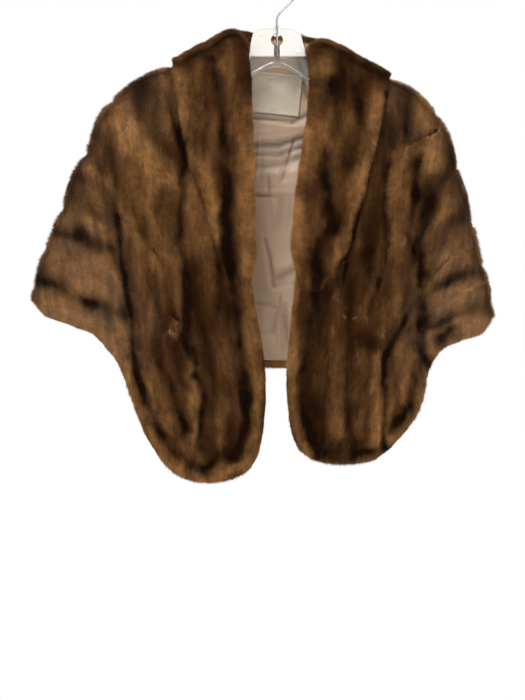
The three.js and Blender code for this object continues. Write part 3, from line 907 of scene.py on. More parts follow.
@dataclass(frozen=True)
class ClearPlasticFinish:
    """Clear moulded plastic, scuffed, with a painted white glare over the top of its plate."""

    name: str
    tint: tuple = (0.93, 0.95, 0.955, 1)
    painted_glare: tuple = (0.50, 0.475, 0.44, 1)
    painted_glare_foot: tuple = (-0.1415, -0.1385)
    clear_socket: float = 0.0046
    painted_glare_strength: float = 0.93

    def make(self) -> bpy.types.Material:
        """The material, with fine scuffs in its gloss."""
        s = Shader(
            self.name, Base_Color=self.tint, Transmission_Weight=1.0, IOR=1.46,
            Coat_Weight=0.2,
        )
        place = s.add("ShaderNodeTexCoord").outputs["Object"]
        x, _, z = s.add("ShaderNodeSeparateXYZ", {0: place}).outputs
        # painted glare: the plate above its foot turns white and less clear, except beside the
        # socket
        beside = s.math("GREATER_THAN", s.math("ABSOLUTE", x), self.clear_socket)
        glare_here = s.math("MULTIPLY", s.ranged(z, given=self.painted_glare_foot), beside)
        s.link(s.mix(glare_here, self.tint, self.painted_glare), "Base Color")
        glare_here = s.math("MULTIPLY", glare_here, self.painted_glare_strength)
        s.link(s.math("SUBTRACT", 1.0, glare_here), "Transmission Weight")
        s.link(s.ranged(s.noise(60, 6), to=(0.03, 0.16), given=(0.35, 0.8)), "Roughness")
        s.bump(s.noise(35, 1), 0.0006, 0.12)
        return s.material


@dataclass(frozen=True)
class WireFinish:
    """Drawn steel wire with a dulled plating."""

    name: str
    bright: tuple = (0.40, 0.40, 0.41, 1)
    dull: tuple = (0.20, 0.20, 0.205, 1)

    def make(self) -> bpy.types.Material:
        """The material, with drawing marks along the wire."""
        s = Shader(self.name, Metallic=1.0)
        s.link(s.mix(s.noise(180, 4, (1, 1, 0.2)), self.bright, self.dull), "Base Color")
        s.link(s.ranged(s.noise(240, 3), to=(0.18, 0.38), given=(0.3, 0.7)), "Roughness")
        return s.material


@dataclass(frozen=True)
class ThreadFinish:
    """Sewing thread."""

    name: str
    light: tuple = (0.5, 0.43, 0.33, 1)
    shade: tuple = (0.2, 0.15, 0.1, 1)

    def make(self) -> bpy.types.Material:
        """The material, with a twist in its shade."""
        s = Shader(self.name, Roughness=0.6)
        s.link(s.mix(s.noise(2500, 1), self.light, self.shade), "Base Color")
        return s.material


# Markings of the coat, and painted shade in its folds


class Tone(Enum):
    """What a stroke does to the coat."""

    DARK = 1
    GOLD = 2
    WORN = 3


@dataclass(frozen=True)
class Stroke:
    """A marking laid along a line of the front view."""

    tone: Tone
    width: float
    strength: float
    path: tuple
    spread: float = 1.4

    def at(self, x: Array, z: Array, drift: Array, broken: Array) -> Array:
        """Its strength at each place.

        Args:
            x: places across, in mm.
            z: places up, in mm.
            drift: how far the line strays in x and z, in widths.
            broken: how strong it is against its mean.

        Returns:
            Strengths, 0 away from the line.
        """
        x, z = x + drift[0] * self.width, z + drift[1] * self.width
        line = np.array([at_pixel(*p) for p in self.path], float)
        away = np.full(np.shape(x), 1e9)
        for (x1, z1), (x2, z2) in zip(line, line[1:]):
            dx, dz = x2 - x1, z2 - z1
            t = np.clip(((x - x1) * dx + (z - z1) * dz) / (dx * dx + dz * dz + 1e-9), 0, 1)
            away = np.minimum(away, np.hypot(x - x1 - t * dx, z - z1 - t * dz))
        return self.strength * broken * bell(away, self.spread * self.width)


def strokes(tone: Tone, *rows: tuple) -> list[Stroke]:
    """Strokes of one tone.

    Args:
        tone: what they do to the coat.
        rows: for each stroke its width, its strength and then its points, one
            column and row of the picture after the other.

    Returns:
        The strokes, in the same order.
    """
    return [Stroke(tone, row[0], row[1], tuple(zip(row[2::2], row[3::2]))) for row in rows]


LEFT_MARKS = (
    *strokes(
        Tone.DARK,
        (15, 0.6, 133, 87, 152, 96, 168, 108), (7, 0.9, 168, 96, 172, 118, 180, 142),
        (10, 0.9, 212, 58, 220, 92, 223, 118), (7, 0.7, 222, 118, 218, 148),
        (9.5, 0.95, 221, 124, 226, 172, 228, 210, 230, 249, 233, 290),
        (6, 0.7, 205, 100, 208, 122),
        # painted shade along the groove of a fold
        (9.5, 1.0, 184, 142, 182, 183, 179, 235, 184, 268, 187, 307, 184, 336, 197, 362),
        (7, 0.8, 219, 258, 220, 285, 217, 310), (9, 0.95, 239, 296, 239, 334, 243, 375),
        (9, 1.0, 243, 372, 247, 416, 240, 446, 232, 458),
        (9, 1.0, 195, 372, 204, 389, 202, 420, 200, 446),
        (10, 0.9, 190, 462, 204, 466, 214, 456),
        (8, 1.0, 130, 351, 141, 384, 152, 416, 165, 438, 179, 455),
        (8, 0.75, 160, 360, 174, 395, 184, 428),
        (8, 0.9, 117, 215, 121, 262, 130, 307, 132, 340, 128, 356),
        (11, 0.6, 126, 286, 134, 318, 138, 344), (13, 0.55, 93, 130, 106, 148, 104, 168),
        (11, 0.62, 70, 172, 92, 182, 108, 200, 116, 222),
        (12, 0.8, 48, 231, 80, 236, 108, 248, 120, 268), (12, 0.75, 32, 276, 56, 284, 78, 297),
        (5, 1.1, 170, 312, 176, 318), (11, 0.8, 78, 297, 104, 306, 128, 314),
        (9, 0.5, 150, 232, 160, 262, 172, 285), (4, 0.7, 152, 248, 162, 266),
        (15, 0.6, 214, 296, 216, 330, 220, 364), (15, 0.5, 204, 96, 200, 124, 202, 146),
        (14, 0.5, 158, 300, 168, 340, 178, 380), (6, 0.45, 206, 300, 207, 340, 212, 366),
        (5, 0.5, 160, 322, 166, 340, 178, 352), (6, 0.5, 213, 225, 217, 262),
    ),
    *strokes(
        Tone.GOLD,
        (10, 0.72, 243, 140, 244, 200, 245, 262, 252, 330, 257, 400, 256, 440, 246, 466),
        (10, 0.85, 226, 470, 246, 466), (10, 0.8, 190, 132, 205, 160, 212, 200, 216, 232),
        (13, 0.75, 180, 76, 184, 100, 190, 126), (11, 0.3, 228, 60, 234, 100, 236, 130),
        (8, 1.0, 195, 362, 192, 389, 195, 416, 186, 450),
        (9, 0.55, 218, 340, 222, 390, 222, 440),
        (19, 1.15, 120, 120, 134, 140, 150, 160, 166, 172), (12, 0.8, 108, 108, 122, 104),
        (12, 0.7, 61, 212, 86, 222, 106, 232), (12, 0.75, 42, 262, 74, 270, 102, 288),
        (12, 0.75, 30, 296, 52, 306, 80, 322), (12, 0.6, 80, 166, 96, 172),
        (9, 0.6, 118, 212, 140, 240, 158, 268),
        (13, 0.75, 112, 338, 128, 372, 142, 404, 158, 432),
        (12, 0.7, 158, 440, 180, 466, 205, 476, 226, 474), (6, 0.7, 170, 328, 173, 332),
        (9, 0.4, 150, 300, 156, 330),
    ),
)
RIGHT_MARKS = (
    *strokes(
        Tone.DARK,
        (11, 0.75, 352, 80, 356, 98, 355, 120), (17, 0.62, 334, 84, 342, 120, 344, 156),
        (15, 0.5, 352, 290, 350, 330, 340, 380), (14, 0.5, 366, 250, 362, 300),
        (9, 0.6, 340, 70, 350, 84), (10.5, 0.9, 326, 150, 326, 205, 333, 226),
        (9.5, 0.9, 327, 226, 314, 250, 317, 276, 315, 301, 310, 321),
        (9, 0.8, 312, 321, 309, 346, 305, 369),
        (9, 1.0, 303, 369, 299, 397, 307, 428, 317, 450),
        (13, 0.8, 389, 119, 392, 142, 387, 160), (10, 0.75, 405, 100, 407, 142),
        (4, 1.0, 384, 92, 381, 124, 372, 158, 361, 200, 352, 238, 344, 276),
        (6, 1.0, 387, 158, 385, 192, 389, 231, 382, 273, 369, 310),
        # this stroke and the next are painted shade along a deep fold valley
        (11, 0.9, 417, 156, 417, 192, 420, 231),
        (17, 1.0, 421, 236, 424, 265, 424, 301, 420, 338, 425, 355),
        (12, 0.75, 424, 346, 438, 340, 453, 331),
        (10, 0.9, 455, 146, 444, 172, 432, 205, 424, 231),
        (9, 0.6, 470, 208, 444, 224, 434, 248), (9, 0.75, 488, 268, 455, 274, 431, 292),
        (9, 0.7, 496, 302, 465, 308, 431, 326),
        (6, 1.0, 407, 313, 391, 342, 385, 358, 385, 428, 386, 447),
        (9, 0.9, 419, 358, 410, 404, 392, 428), (6, 0.5, 334, 288, 333, 344, 327, 400),
        (7, 0.65, 347, 330, 348, 380, 351, 442), (9, 0.85, 326, 452, 350, 453, 372, 449),
        (4, 0.7, 430, 133, 408, 142, 400, 156), (8, 0.6, 341, 262, 338, 285, 326, 298),
        (8, 0.5, 362, 250, 372, 280),
    ),
    *strokes(
        Tone.GOLD,
        (9, 0.72, 311, 136, 302, 203, 295, 259, 294, 315, 291, 358, 292, 410),
        (10, 0.8, 296, 414, 313, 455, 341, 460, 375, 457, 406, 430, 424, 394),
        (11, 0.75, 376, 100, 368, 147, 357, 192, 346, 238), (13, 0.6, 348, 238, 336, 262),
        (11, 0.5, 325, 62, 330, 100, 322, 130), (15, 0.55, 397, 172, 398, 209, 404, 240),
        (11, 0.4, 404, 240, 398, 290, 380, 330), (7, 1.0, 375, 352, 375, 400, 375, 444),
        (16, 1.05, 416, 102, 430, 122), (15, 1.0, 432, 146, 428, 164),
        (12, 0.75, 458, 190, 444, 212), (12, 0.7, 477, 246, 450, 258, 437, 276),
        (10, 0.65, 490, 286, 459, 295, 438, 312), (12, 0.75, 494, 318, 459, 330, 438, 346),
        (7, 0.7, 408, 372, 389, 411), (7, 0.5, 412, 326, 398, 352),
        (10, 0.45, 339, 345, 338, 430), (9, 0.5, 362, 350, 362, 430),
    ),
)


LEFT_FINE = (
    *strokes(
        Tone.DARK,
        # The first dark stroke is a small puncture, shown only as painted shade.
        (3.2, 1.3, 171, 316, 175, 321), (1.6, 0.8, 170, 322, 164, 336, 160, 348),
        (1.6, 0.7, 176, 322, 180, 340, 186, 356), (1.8, 0.9, 152, 246, 158, 256, 162, 268),
        (1.8, 0.8, 202, 186, 207, 210, 212, 236, 216, 262),
        (1.8, 0.8, 172, 86, 180, 108, 184, 140), (1.6, 0.6, 150, 128, 160, 140, 170, 168),
    ),
    *strokes(
        Tone.GOLD,
        (3.0, 1.0, 168, 329, 174, 331),
    ),
    *strokes(
        Tone.WORN,
        (1.5, 0.95, 132, 118, 129, 125, 127, 130, 123, 133), (1.2, 0.6, 129, 125, 132, 127),
        (1.4, 0.3, 169, 328, 172, 331), (1.2, 0.4, 166, 171, 168, 174),
    ),
)
RIGHT_FINE = (
    *strokes(
        Tone.DARK,
        (2.0, 1.1, 431, 133, 420, 139, 408, 144, 400, 158),
        (1.8, 0.8, 334, 292, 332, 350, 327, 400, 326, 440),
        (1.8, 0.8, 346, 332, 350, 390, 352, 440), (1.8, 0.8, 362, 300, 356, 330, 358, 360),
        (2.0, 1.0, 387, 160, 384, 196, 389, 232, 382, 274),
        (1.8, 0.7, 470, 246, 450, 256, 436, 272), (1.8, 0.7, 482, 284, 458, 292, 434, 308),
    ),
    *strokes(
        Tone.WORN,
        (1.0, 0.4, 343, 313, 346, 316), (1.0, 0.4, 355, 316, 358, 315),
        (1.0, 0.35, 381, 331, 383, 335), (1.0, 0.6, 371, 139, 373, 142),
        (1.0, 0.5, 403, 234, 401, 242),
    ),
)


STRAYING = ((26, 0.38), (10, 0.23))
BROKEN = ((30, 0.28), (12, 0.16))


def marked(marks: Sequence[Stroke], x: Array, z: Array, tone: Tone, stray: float = 1) -> Array:
    """The strongest stroke of one tone at each place.

    Args:
        marks: the strokes.
        x: places across, in mm.
        z: places up, in mm.
        tone: the tone that counts.
        stray: how uneven the strokes are, from 0.

    Returns:
        Strengths.
    """
    found = np.zeros(np.shape(x))
    drift, broken = np.zeros((2, *found.shape)), np.ones(found.shape)
    if stray:
        flat = np.stack([x, 0 * x, z], axis=-1)
        for k in (0, 1):
            drift[k] = waves(flat, 1 + 2 * k, *STRAYING)
        broken = 1 + waves(flat, 5, *BROKEN)
    for mark in marks:
        if mark.tone is tone:
            found = np.maximum(found, mark.at(x, z, drift * stray, broken))
    return found


@dataclass
class Coat:
    """One area of fur: a grid over the pelt's inner side and what grows on it."""

    under: Array
    normal: Array
    height: Array
    flow: Array
    # stripe, gold and worn are partly painted: the stripe carries painted shade, the gold painted
    # light and the worn share a painted sheen
    stripe: Array
    gold: Array
    worn: Array
    run: Array

    def colours(self) -> Array:
        """The grid's coat colours for the pelt itself."""
        chance = np.full(self.stripe.shape, 0.35)
        return np.stack([self.stripe, self.gold, chance, self.worn], axis=-1)

    def sampled(self, count: int, rng: np.random.Generator) -> tuple[dict, Array]:
        """Places on the grid, scattered evenly over the fur's outer surface.

        Args:
            count: how many.
            rng: the seeded chance.

        Returns:
            The coat's values at each place, and the places in the unit square.
        """
        p = self.under + self.normal * self.height[..., None]
        across = np.cross(p[1:, :-1] - p[:-1, :-1], p[:-1, 1:] - p[:-1, :-1])
        area = np.linalg.norm(across, axis=2)
        rows, columns = area.shape
        total = np.cumsum(area.ravel())
        spread = (np.arange(count) + rng.random(count)) / count * total[-1]
        cell = np.minimum(np.searchsorted(total, spread), total.size - 1)
        i, j = cell // columns, cell % columns
        a, b = rng.random(count), rng.random(count)

        def at(grid: Array) -> Array:
            """A grid's values at the places.

            Args:
                grid: one value or more for each of the coat's points.

            Returns:
                Values blended from the four corners of each cell.
            """
            shape = (-1,) + (1,) * (grid.ndim - 2)
            s, t = a.reshape(shape), b.reshape(shape)
            low = grid[i, j] * (1 - t) + grid[i, j + 1] * t
            return low * (1 - s) + (grid[i + 1, j] * (1 - t) + grid[i + 1, j + 1] * t) * s

        names = "under", "normal", "height", "flow", "stripe", "gold", "worn", "run"
        values = {name: at(getattr(self, name)) for name in names}
        grown = values["worn"] < 0.5
        places = np.stack([(i + a) / rows, (j + b) / columns], axis=1)
        return {name: value[grown] for name, value in values.items()}, places[grown]


@dataclass(frozen=True)
class Slit:
    """A small tear through the pelt, a leaf seen from the front."""

    x: float = 250.0
    z: float = -262.0
    length: float = 21.0
    width: float = 6.0
    angle: float = 0.78
    sides: int = 16
    deep: tuple = (-6, 22)
    edge_reach: float = 14.0
    # coat colour round the cut: darkest stripe, no gold or wear, painted shade in the tear
    skin: tuple = (1, 0, 0.1, 0)

    def inside(self, points: Array) -> Array:
        """How far inside the leaf points are.

        Args:
            points: places in mm, in rows.

        Returns:
            Shares from 0 outside to 1 at its middle.
        """
        dx, dz = points[:, 0] - self.x, points[:, 2] - self.z
        c, s = math.cos(self.angle), math.sin(self.angle)
        along = (dx * c + dz * s) / (self.length / 2 + 2)
        across = (dz * c - dx * s) / (self.width / 2 + 1)
        return smooth((1.25 - along**2 - np.abs(across)) * 2) * (points[:, 1] < 0)

    def cutter(self, panel: Panel) -> bpy.types.Object:
        """A solid leaf to cut the pelt with.

        Args:
            panel: the front through which it stands.

        Returns:
            The leaf.
        """
        u, v = place_under(panel, one(self.x), one(self.z))
        n = panel.normal(u, v)[0]
        right = unit(np.cross(n, (0, 0, -1)))
        up = np.cross(n, right)
        right, up = right * np.sign(right[0]), up * np.sign(up[2])
        c, s = math.cos(self.angle), math.sin(self.angle)
        leaf = []
        for a in np.arange(self.sides) * 2 * math.pi / self.sides:
            x = self.length / 2 * math.cos(a)
            z = self.width / 2 * math.sin(a) * abs(math.sin(a)) ** 0.5
            leaf.append((x * c - z * s) * right + (x * s + z * c) * up)
        middle = panel.point(u, v)[0]
        points = [middle + e + n * away for away in self.deep for e in leaf]
        return solid_object("slit", [(points, prism_faces(self.sides))])

    def cut(self, ob: bpy.types.Object, panel: Panel) -> None:
        """Cuts the leaf out of a pelt and paints shade round it: the pelt there is set to the
        darkest coat colour.

        Args:
            ob: the pelt.
            panel: the front that it lies on.
        """
        cutter = self.cutter(panel)
        subtract(ob, cutter)
        done = apply_all(ob)
        bpy.data.objects.remove(cutter)
        for point, colour in zip(done.vertices, done.color_attributes["coat"].data):
            near = np.array([tuple(point.co)]) / MM
            if abs(near[0, 0] - self.x) < self.edge_reach and self.inside(near)[0] > 0.02:
                colour.color = self.skin


HAIR_SPOT = np.array([[0, 0], [0, 1], [1, 0.5]]) * 0.0035
BEHIND_RIDGE = np.array([0, 0.93, 0.36])


@dataclass
class FurPiece:
    """A pelt with its nap, as two meshes that go together."""

    name: str
    coat: Coat
    hairs: int
    seed: int
    flat: tuple
    area: float
    replaced: str
    slot: str = "fur"
    fine: tuple = ()
    slit: Slit | None = None
    panel: Panel | None = None
    pelt_share: float = 0.56
    lean: float = 10.0
    hair_width: float = 0.95
    shortest: float = 0.8
    uneven: tuple = (0.7, 1.2)
    tufts: tuple = ((21, 0.40), (8, 0.25))
    lifts: tuple = ((19, 1.3), (7, 1.2))
    streaks: tuple = ((0.16, 2.6), (0.20, 7))
    middle_chance: float = 0.45
    root_shade: float = 0.55
    tip_light: float = 1.2
    parted: float = 0.35

    def build(self) -> list[bpy.types.Object]:
        pelt, nap = self.pelt(), self.nap()
        if self.slit:
            self.slit.cut(pelt, self.panel)
        pelt.data.materials.append(MinkFinish(f"{self.name}_pelt_finish").make(False))
        nap.data.materials.append(MinkFinish(f"{self.name}_nap_finish").make(True))
        for ob in (pelt, nap):
            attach(ob, "root")
        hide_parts(self.replaced)
        return [pelt, nap]

    def pelt(self) -> bpy.types.Object:
        """The pelt and the dense underwool, as a closed shell."""
        c = self.coat
        outer = c.under + c.normal * (c.height * self.pelt_share)[..., None]
        ob = shell_object(f"{self.name}_pelt", outer, c.under)
        colours = c.colours().reshape(-1, 4)
        paint(ob, "coat", np.vstack([colours, colours]))
        square = [np.linspace(0, 1, count) for count in c.stripe.shape]
        places = np.stack(np.meshgrid(*square, indexing="ij"), axis=-1).reshape(-1, 2)
        half = places * (0.5, 1)
        map_points(ob, np.vstack([half, half + (0.5, 0)]))
        return ob

    def lay_fine_marks(self, v: dict) -> None:
        """Lays the fine strokes and the slit's edge on the hairs' values.

        Args:
            v: the coat's values at each hair, changed in place.
        """
        p = v["under"]
        for tone, key in ((Tone.DARK, "stripe"), (Tone.GOLD, "gold"), (Tone.WORN, "worn")):
            fine = marked(self.fine, p[:, 0], p[:, 2], tone, 0)
            fine = np.clip(fine, 0, 1) * (p[:, 1] < 0)
            v[key] = np.maximum(v[key], fine)
            if tone is Tone.DARK:
                v["height"] = v["height"] * (1 - self.parted * fine)
        if self.slit:
            # the hairs over the tear are darkened: painted shade in the hole
            gap = self.slit.inside(p)
            v["stripe"] = np.maximum(v["stripe"], gap)
            v["height"] = v["height"] * (1 - 0.75 * gap)
            v["flow"] = v["flow"] * (1 - 0.8 * gap)[:, None]

    def nap(self) -> bpy.types.Object:
        """The guard hairs: fine tapered blades, combed, tufted and uneven."""
        rng = np.random.default_rng(self.seed)
        v, places = self.coat.sampled(self.hairs, rng)
        hairs = len(places)
        self.lay_fine_marks(v)
        n, flow, p = v["normal"], v["flow"], v["under"]
        tuft = waves(p, self.seed, *self.tufts) + rng.normal(0, 0.2, hairs)
        comb = unit(flow + unit(np.cross(n, flow)) * tuft[:, None])
        wide = unit(np.cross(n, comb))
        low = v["height"] * self.pelt_share * rng.uniform(0.8, 1.0, hairs)
        top = v["height"] + waves(p, self.seed + 2, *self.lifts)
        top = np.maximum(top - rng.gamma(1.5, 0.35, hairs), low + self.shortest)
        reach = self.lean * rng.uniform(*self.uneven, hairs) * np.linalg.norm(flow, axis=1)
        reach *= np.clip(v["height"] / FUR, 0.35, 1) * (1 - 0.6 * v["worn"])
        half = self.hair_width / 2 * rng.uniform(*self.uneven, hairs)
        root = p + n * low[:, None]
        tip = p + n * top[:, None] + comb * reach[:, None]
        left, right = root - wide * half[:, None], root + wide * half[:, None]
        corners = np.stack([right, left, tip], axis=1).reshape(-1, 3)
        ob = mesh_object(f"{self.name}_nap", corners, np.arange(hairs * 3).reshape(-1, 3))
        paint(ob, "coat", self.hair_colours(v, rng.normal(0, 0.14, hairs)).reshape(-1, 4))
        bent = self.hair_normals(v, comb, wide, tuft)
        ob.data.normals_split_custom_set_from_vertices(bent.reshape(-1, 3).tolist())
        places = np.clip(places, 0.002, 0.994)[:, None] + HAIR_SPOT
        map_points(ob, places.reshape(-1, 2))
        return ob

    def hair_colours(self, v: dict, chance: Array) -> Array:
        """The coat colours of every hair, darker at its root.

        Args:
            v: the coat's values at each hair.
            chance: how far each hair strays from its streak.

        Returns:
            Colours for the three corners of each.
        """
        for k, (stretch, size) in enumerate(self.streaks):
            chance = chance + soft_noise(v["run"] * (stretch, 1, 1), size, self.seed + 8 + k) * 0.2
        chance = chance + soft_noise(v["under"], 4.5, self.seed + 10) * 0.16
        chance = np.clip(self.middle_chance + chance, 0, 1)
        colour = np.stack([v["stripe"], v["gold"], chance, v["worn"]], axis=1)
        colour = np.repeat(colour[:, None], 3, axis=1)
        colour[:, :2, 2] *= self.root_shade
        colour[:, 2, 2] = np.minimum(colour[:, 2, 2] * self.tip_light, 1)
        return colour

    def hair_normals(self, v: dict, comb: Array, wide: Array, tuft: Array) -> Array:
        """The directions by which every hair takes the light, as a soft whole.

        Args:
            v: the coat's values at each hair.
            comb: the way that each hair lies.
            wide: the way across it.
            tuft: how far it is turned in its tuft.

        Returns:
            Unit directions for the three corners of each.
        """
        n = v["normal"]
        back = smooth((n[:, 1] - 0.02) / 0.25) * smooth((n[:, 2] - 0.15) / 0.4) * 0.75
        facing = n * (1 - back)[:, None] + back[:, None] * BEHIND_RIDGE
        bent = facing[:, None] - comb[:, None] * np.array([0.0, 0.0, 0.30])[:, None]
        bent = bent + wide[:, None] * (tuft * 0.45)[:, None, None]
        rough = soft_noise(v["under"], 11, self.seed + 11) * 0.35
        return unit(bent + comb[:, None] * rough[:, None, None])


def worn_height(height: Array, x: Array, z: Array, marks: Sequence[Stroke]) -> Array:
    """Lets the nap down where the fur is worn to the skin.

    Args:
        height: the nap's height at each place, in mm.
        x: places across.
        z: places up.
        marks: the strokes laid there.

    Returns:
        The heights with wear.
    """
    return height * (1 - 0.55 * np.clip(marked(marks, x, z, Tone.WORN), 0, 1))


LOWEST_NAP = 1.2
GOLD_CLOUD = 0.30


@dataclass(frozen=True)
class PanelLook:
    """How the stripes, the gold, the painted shade and painted sheen, and the swell of a panel's
    fur are spread.
    """

    stripes_stray: float = 0.10
    stripe_half: float = 0.21
    stripe_cloud: float = 0.24
    clouds: tuple = ((60, 0.5), (22, 0.3))
    hang: float = 190.0
    inner_dark: tuple = ((0.55, 0.12), (0.4, 0.18))
    foot_start: float = 400.0
    # painted shade towards the bottom of the fronts
    foot_painted_shade: float = 0.22
    outer_gold: float = 0.40
    # painted sheen: paler shoulders and sleeve tips, laid as the worn share
    painted_sheen: float = 0.15
    gold_stands: float = 1.2
    dark_sinks: float = 3.2
    puffed: float = 3.4
    swell: float = 1.3
    crest_half: float = 26.0


def panel_coat(panel: Panel, u: Array, v: Array, marks: Sequence[Stroke], seed: int) -> Coat:
    """The coat of a front or of the back.

    Args:
        panel: its surface.
        u: the stations along the strip.
        v: the places across it.
        marks: the strokes laid on it.
        seed: picks its unevenness.

    Returns:
        The coat on a grid of len(u) by len(v) points.
    """
    front, look = isinstance(panel, FrontPanel), PanelLook()
    u, v = np.meshgrid(u, v, indexing="ij")
    under, normal = panel.point(u, v), panel.normal(u, v)
    along, across = panel.steps(u, v)
    width = panel.width(u)
    d = v * width
    span = width - 2 * BORDER
    to_foot = u * panel.length(v) if front else np.full(u.shape, 1e9)
    to_neck = d if front else np.full(u.shape, 1e9)
    to_hem = width - d
    to_edge = np.minimum(np.minimum(to_foot, to_neck), to_hem)
    share = (d - BORDER) / span
    height = nap_height(to_edge, share, span)
    x, z = under[..., 0], under[..., 2]
    bounds = np.array([0, *PELT_SEAMS, 1])
    k = np.clip(np.searchsorted(bounds, share, side="right") - 1, 0, len(bounds) - 2)
    inside = (share - bounds[k]) / (bounds[k + 1] - bounds[k])
    wander = soft_noise(under * (1, 1, 0.4), 45, seed) * look.stripes_stray
    stripe = bell(inside - 0.5 + wander, look.stripe_half) * (to_edge > BORDER)
    gold = 0.55 - 0.35 * stripe + 0.25 * (to_edge < BORDER)
    run = np.stack([u * panel.length(v), d, 0 * d], axis=-1)
    cloud = waves(under, seed + 5, *look.clouds)
    cloud = cloud + soft_noise(run * (0.24, 1, 1), 16, seed + 8) * 0.7
    if front:
        hanging = smooth((1 - u) * panel.length(v) / look.hang)
        dark = marked(marks, x, z, Tone.DARK)
        light = marked(marks, x, z, Tone.GOLD)
        low = sum(by * (1 - smooth((share - end) / 0.3)) for end, by in look.inner_dark)
        # painted shade: the fronts darken towards their lower part
        low = low + look.foot_painted_shade * smooth((-z - look.foot_start) / 260)
        stripe = np.maximum((stripe * (0.35 - 0.2 * hanging) + low) * (1 - light), dark)
        # painted light: the fronts grow golder towards the shoulder ridge
        gold = gold * 0.34 + 0.17 * smooth((u - 0.42) / 0.3)
        gold = np.maximum(gold + look.outer_gold * smooth((share - 0.6) / 0.3), light)
        # painted sheen: the outer shoulders and the sleeve tips are paled towards the worn colour
        painted_sheen = look.painted_sheen * (1 - np.clip(stripe, 0, 1)) * np.maximum(
            smooth((share - 0.45) / 0.4) * smooth((u - 0.3) / 0.3), 0.6 * smooth((u - 0.8) / 0.2)
        )
        height = worn_height(height, x, z, marks)
        relief = look.gold_stands * np.clip(light, 0, 1) - look.dark_sinks * np.clip(dark, 0, 1)
        height = height + relief * smooth((to_edge - 6) / 12)
        comb = -along
    else:
        painted_sheen = 0.0
        stripe = stripe * 0.85
        comb = along * np.sign(u - 0.5 + 1e-6)[..., None] + across * 0.35
        comb = comb + across * (0.8 * bell(u - 0.5, 0.035))[..., None]
    puff = np.sqrt(np.clip(np.sin(np.pi * inside), 0, 1)) - 0.6
    fanned = smooth((u - 0.42) / 0.35) if front else 1.0
    height = height + look.puffed * puff * fanned * smooth((to_edge - BORDER) / 14)
    lift = soft_noise(under, 30, seed + 7) * look.swell
    height = np.maximum(height + lift * smooth(to_edge / 12), LOWEST_NAP)
    # painted light along the shoulder crests: fewer stripes and more gold
    if not front:
        crest = bell(np.minimum(u, 1 - u) * panel.length(v), look.crest_half)
        stripe = stripe * (1 - 0.75 * crest)
        gold = np.maximum(gold, 0.5 * crest)
    near_hem = bell(to_hem, 16)[..., None]
    near_neck = bell(to_neck, 14)[..., None]
    flow = unit(comb) * (1 - 0.35 * near_hem) + across * 0.65 * near_hem
    flow = flow - across * 0.45 * near_neck
    return Coat(
        under=under,
        normal=normal,
        height=height,
        flow=flow,
        stripe=np.clip(stripe + cloud * look.stripe_cloud, 0, 1),
        gold=np.clip(gold - cloud * GOLD_CLOUD, 0, 1),
        worn=np.clip(np.maximum(marked(marks, x, z, Tone.WORN), painted_sheen), 0, 0.8),
        run=run,
    )


# Collar

STAND = {"left": 35.0, "right": 23.0, "back": 26.0}
COLLAR_CLEAR = 1.8
COLLAR_DROP_BACK = 0.21
COLLAR_TOUCH = 0.95
COLLAR_END = 60.0
COLLAR_END_NAP = 0.22
COLLAR_FOOT_U = 0.4
COLLAR_SLANT = 0.12
FRONT_STATIONS = (
    0, 0.012, 0.065, 0.125, 0.185, 0.245, 0.305, 0.365, 0.42, 0.468, 0.508, 0.54, 0.566, 0.586,
    0.6,
)
BACK_STATIONS = (0.01, 0.028, 0.054, 0.09, 0.135, 0.185, 0.24, 0.3, 0.365, 0.432, 0.5)
ROLL = ((0, 0), (0.45, -1), (0.85, 1.5), (1, 8), (0.93, 16))
WRAP = ((3, 0.8), (6, 0.9), (9, 0.9), (FUR + 0.9, 0.7), (FUR + COLLAR_CLEAR, -3))


def one(value: float) -> Array:
    """A number as an array of one."""
    return np.array([float(value)])


def refined(grid: Array, rows: Array, columns: Array) -> Array:
    """A grid of points rounded through and read at finer places.

    Args:
        grid: rows of points.
        rows: where to read along the rows, in rows.
        columns: where to read across, in columns.

    Returns:
        The finer grid.
    """

    def spline(values: Array, t: Array) -> Array:
        """Rounds values along their first axis.

        Args:
            values: the rows.
            t: where to read them, in rows.

        Returns:
            The values there.
        """
        last = len(values) - 1
        k = np.clip(np.floor(t).astype(int), 0, last - 1)
        f = (t - k).reshape((-1,) + (1,) * (values.ndim - 1))
        a, b = values[np.maximum(k - 1, 0)], values[k]
        c, d = values[k + 1], values[np.minimum(k + 2, last)]
        cubic = (-a + 3 * b - 3 * c + d) * f**3 + (2 * a - 5 * b + 4 * c - d) * f**2
        return 0.5 * (cubic + (c - a) * f + 2 * b)

    across = spline(np.swapaxes(spline(grid, rows), 0, 1), columns)
    return np.swapaxes(across, 0, 1)


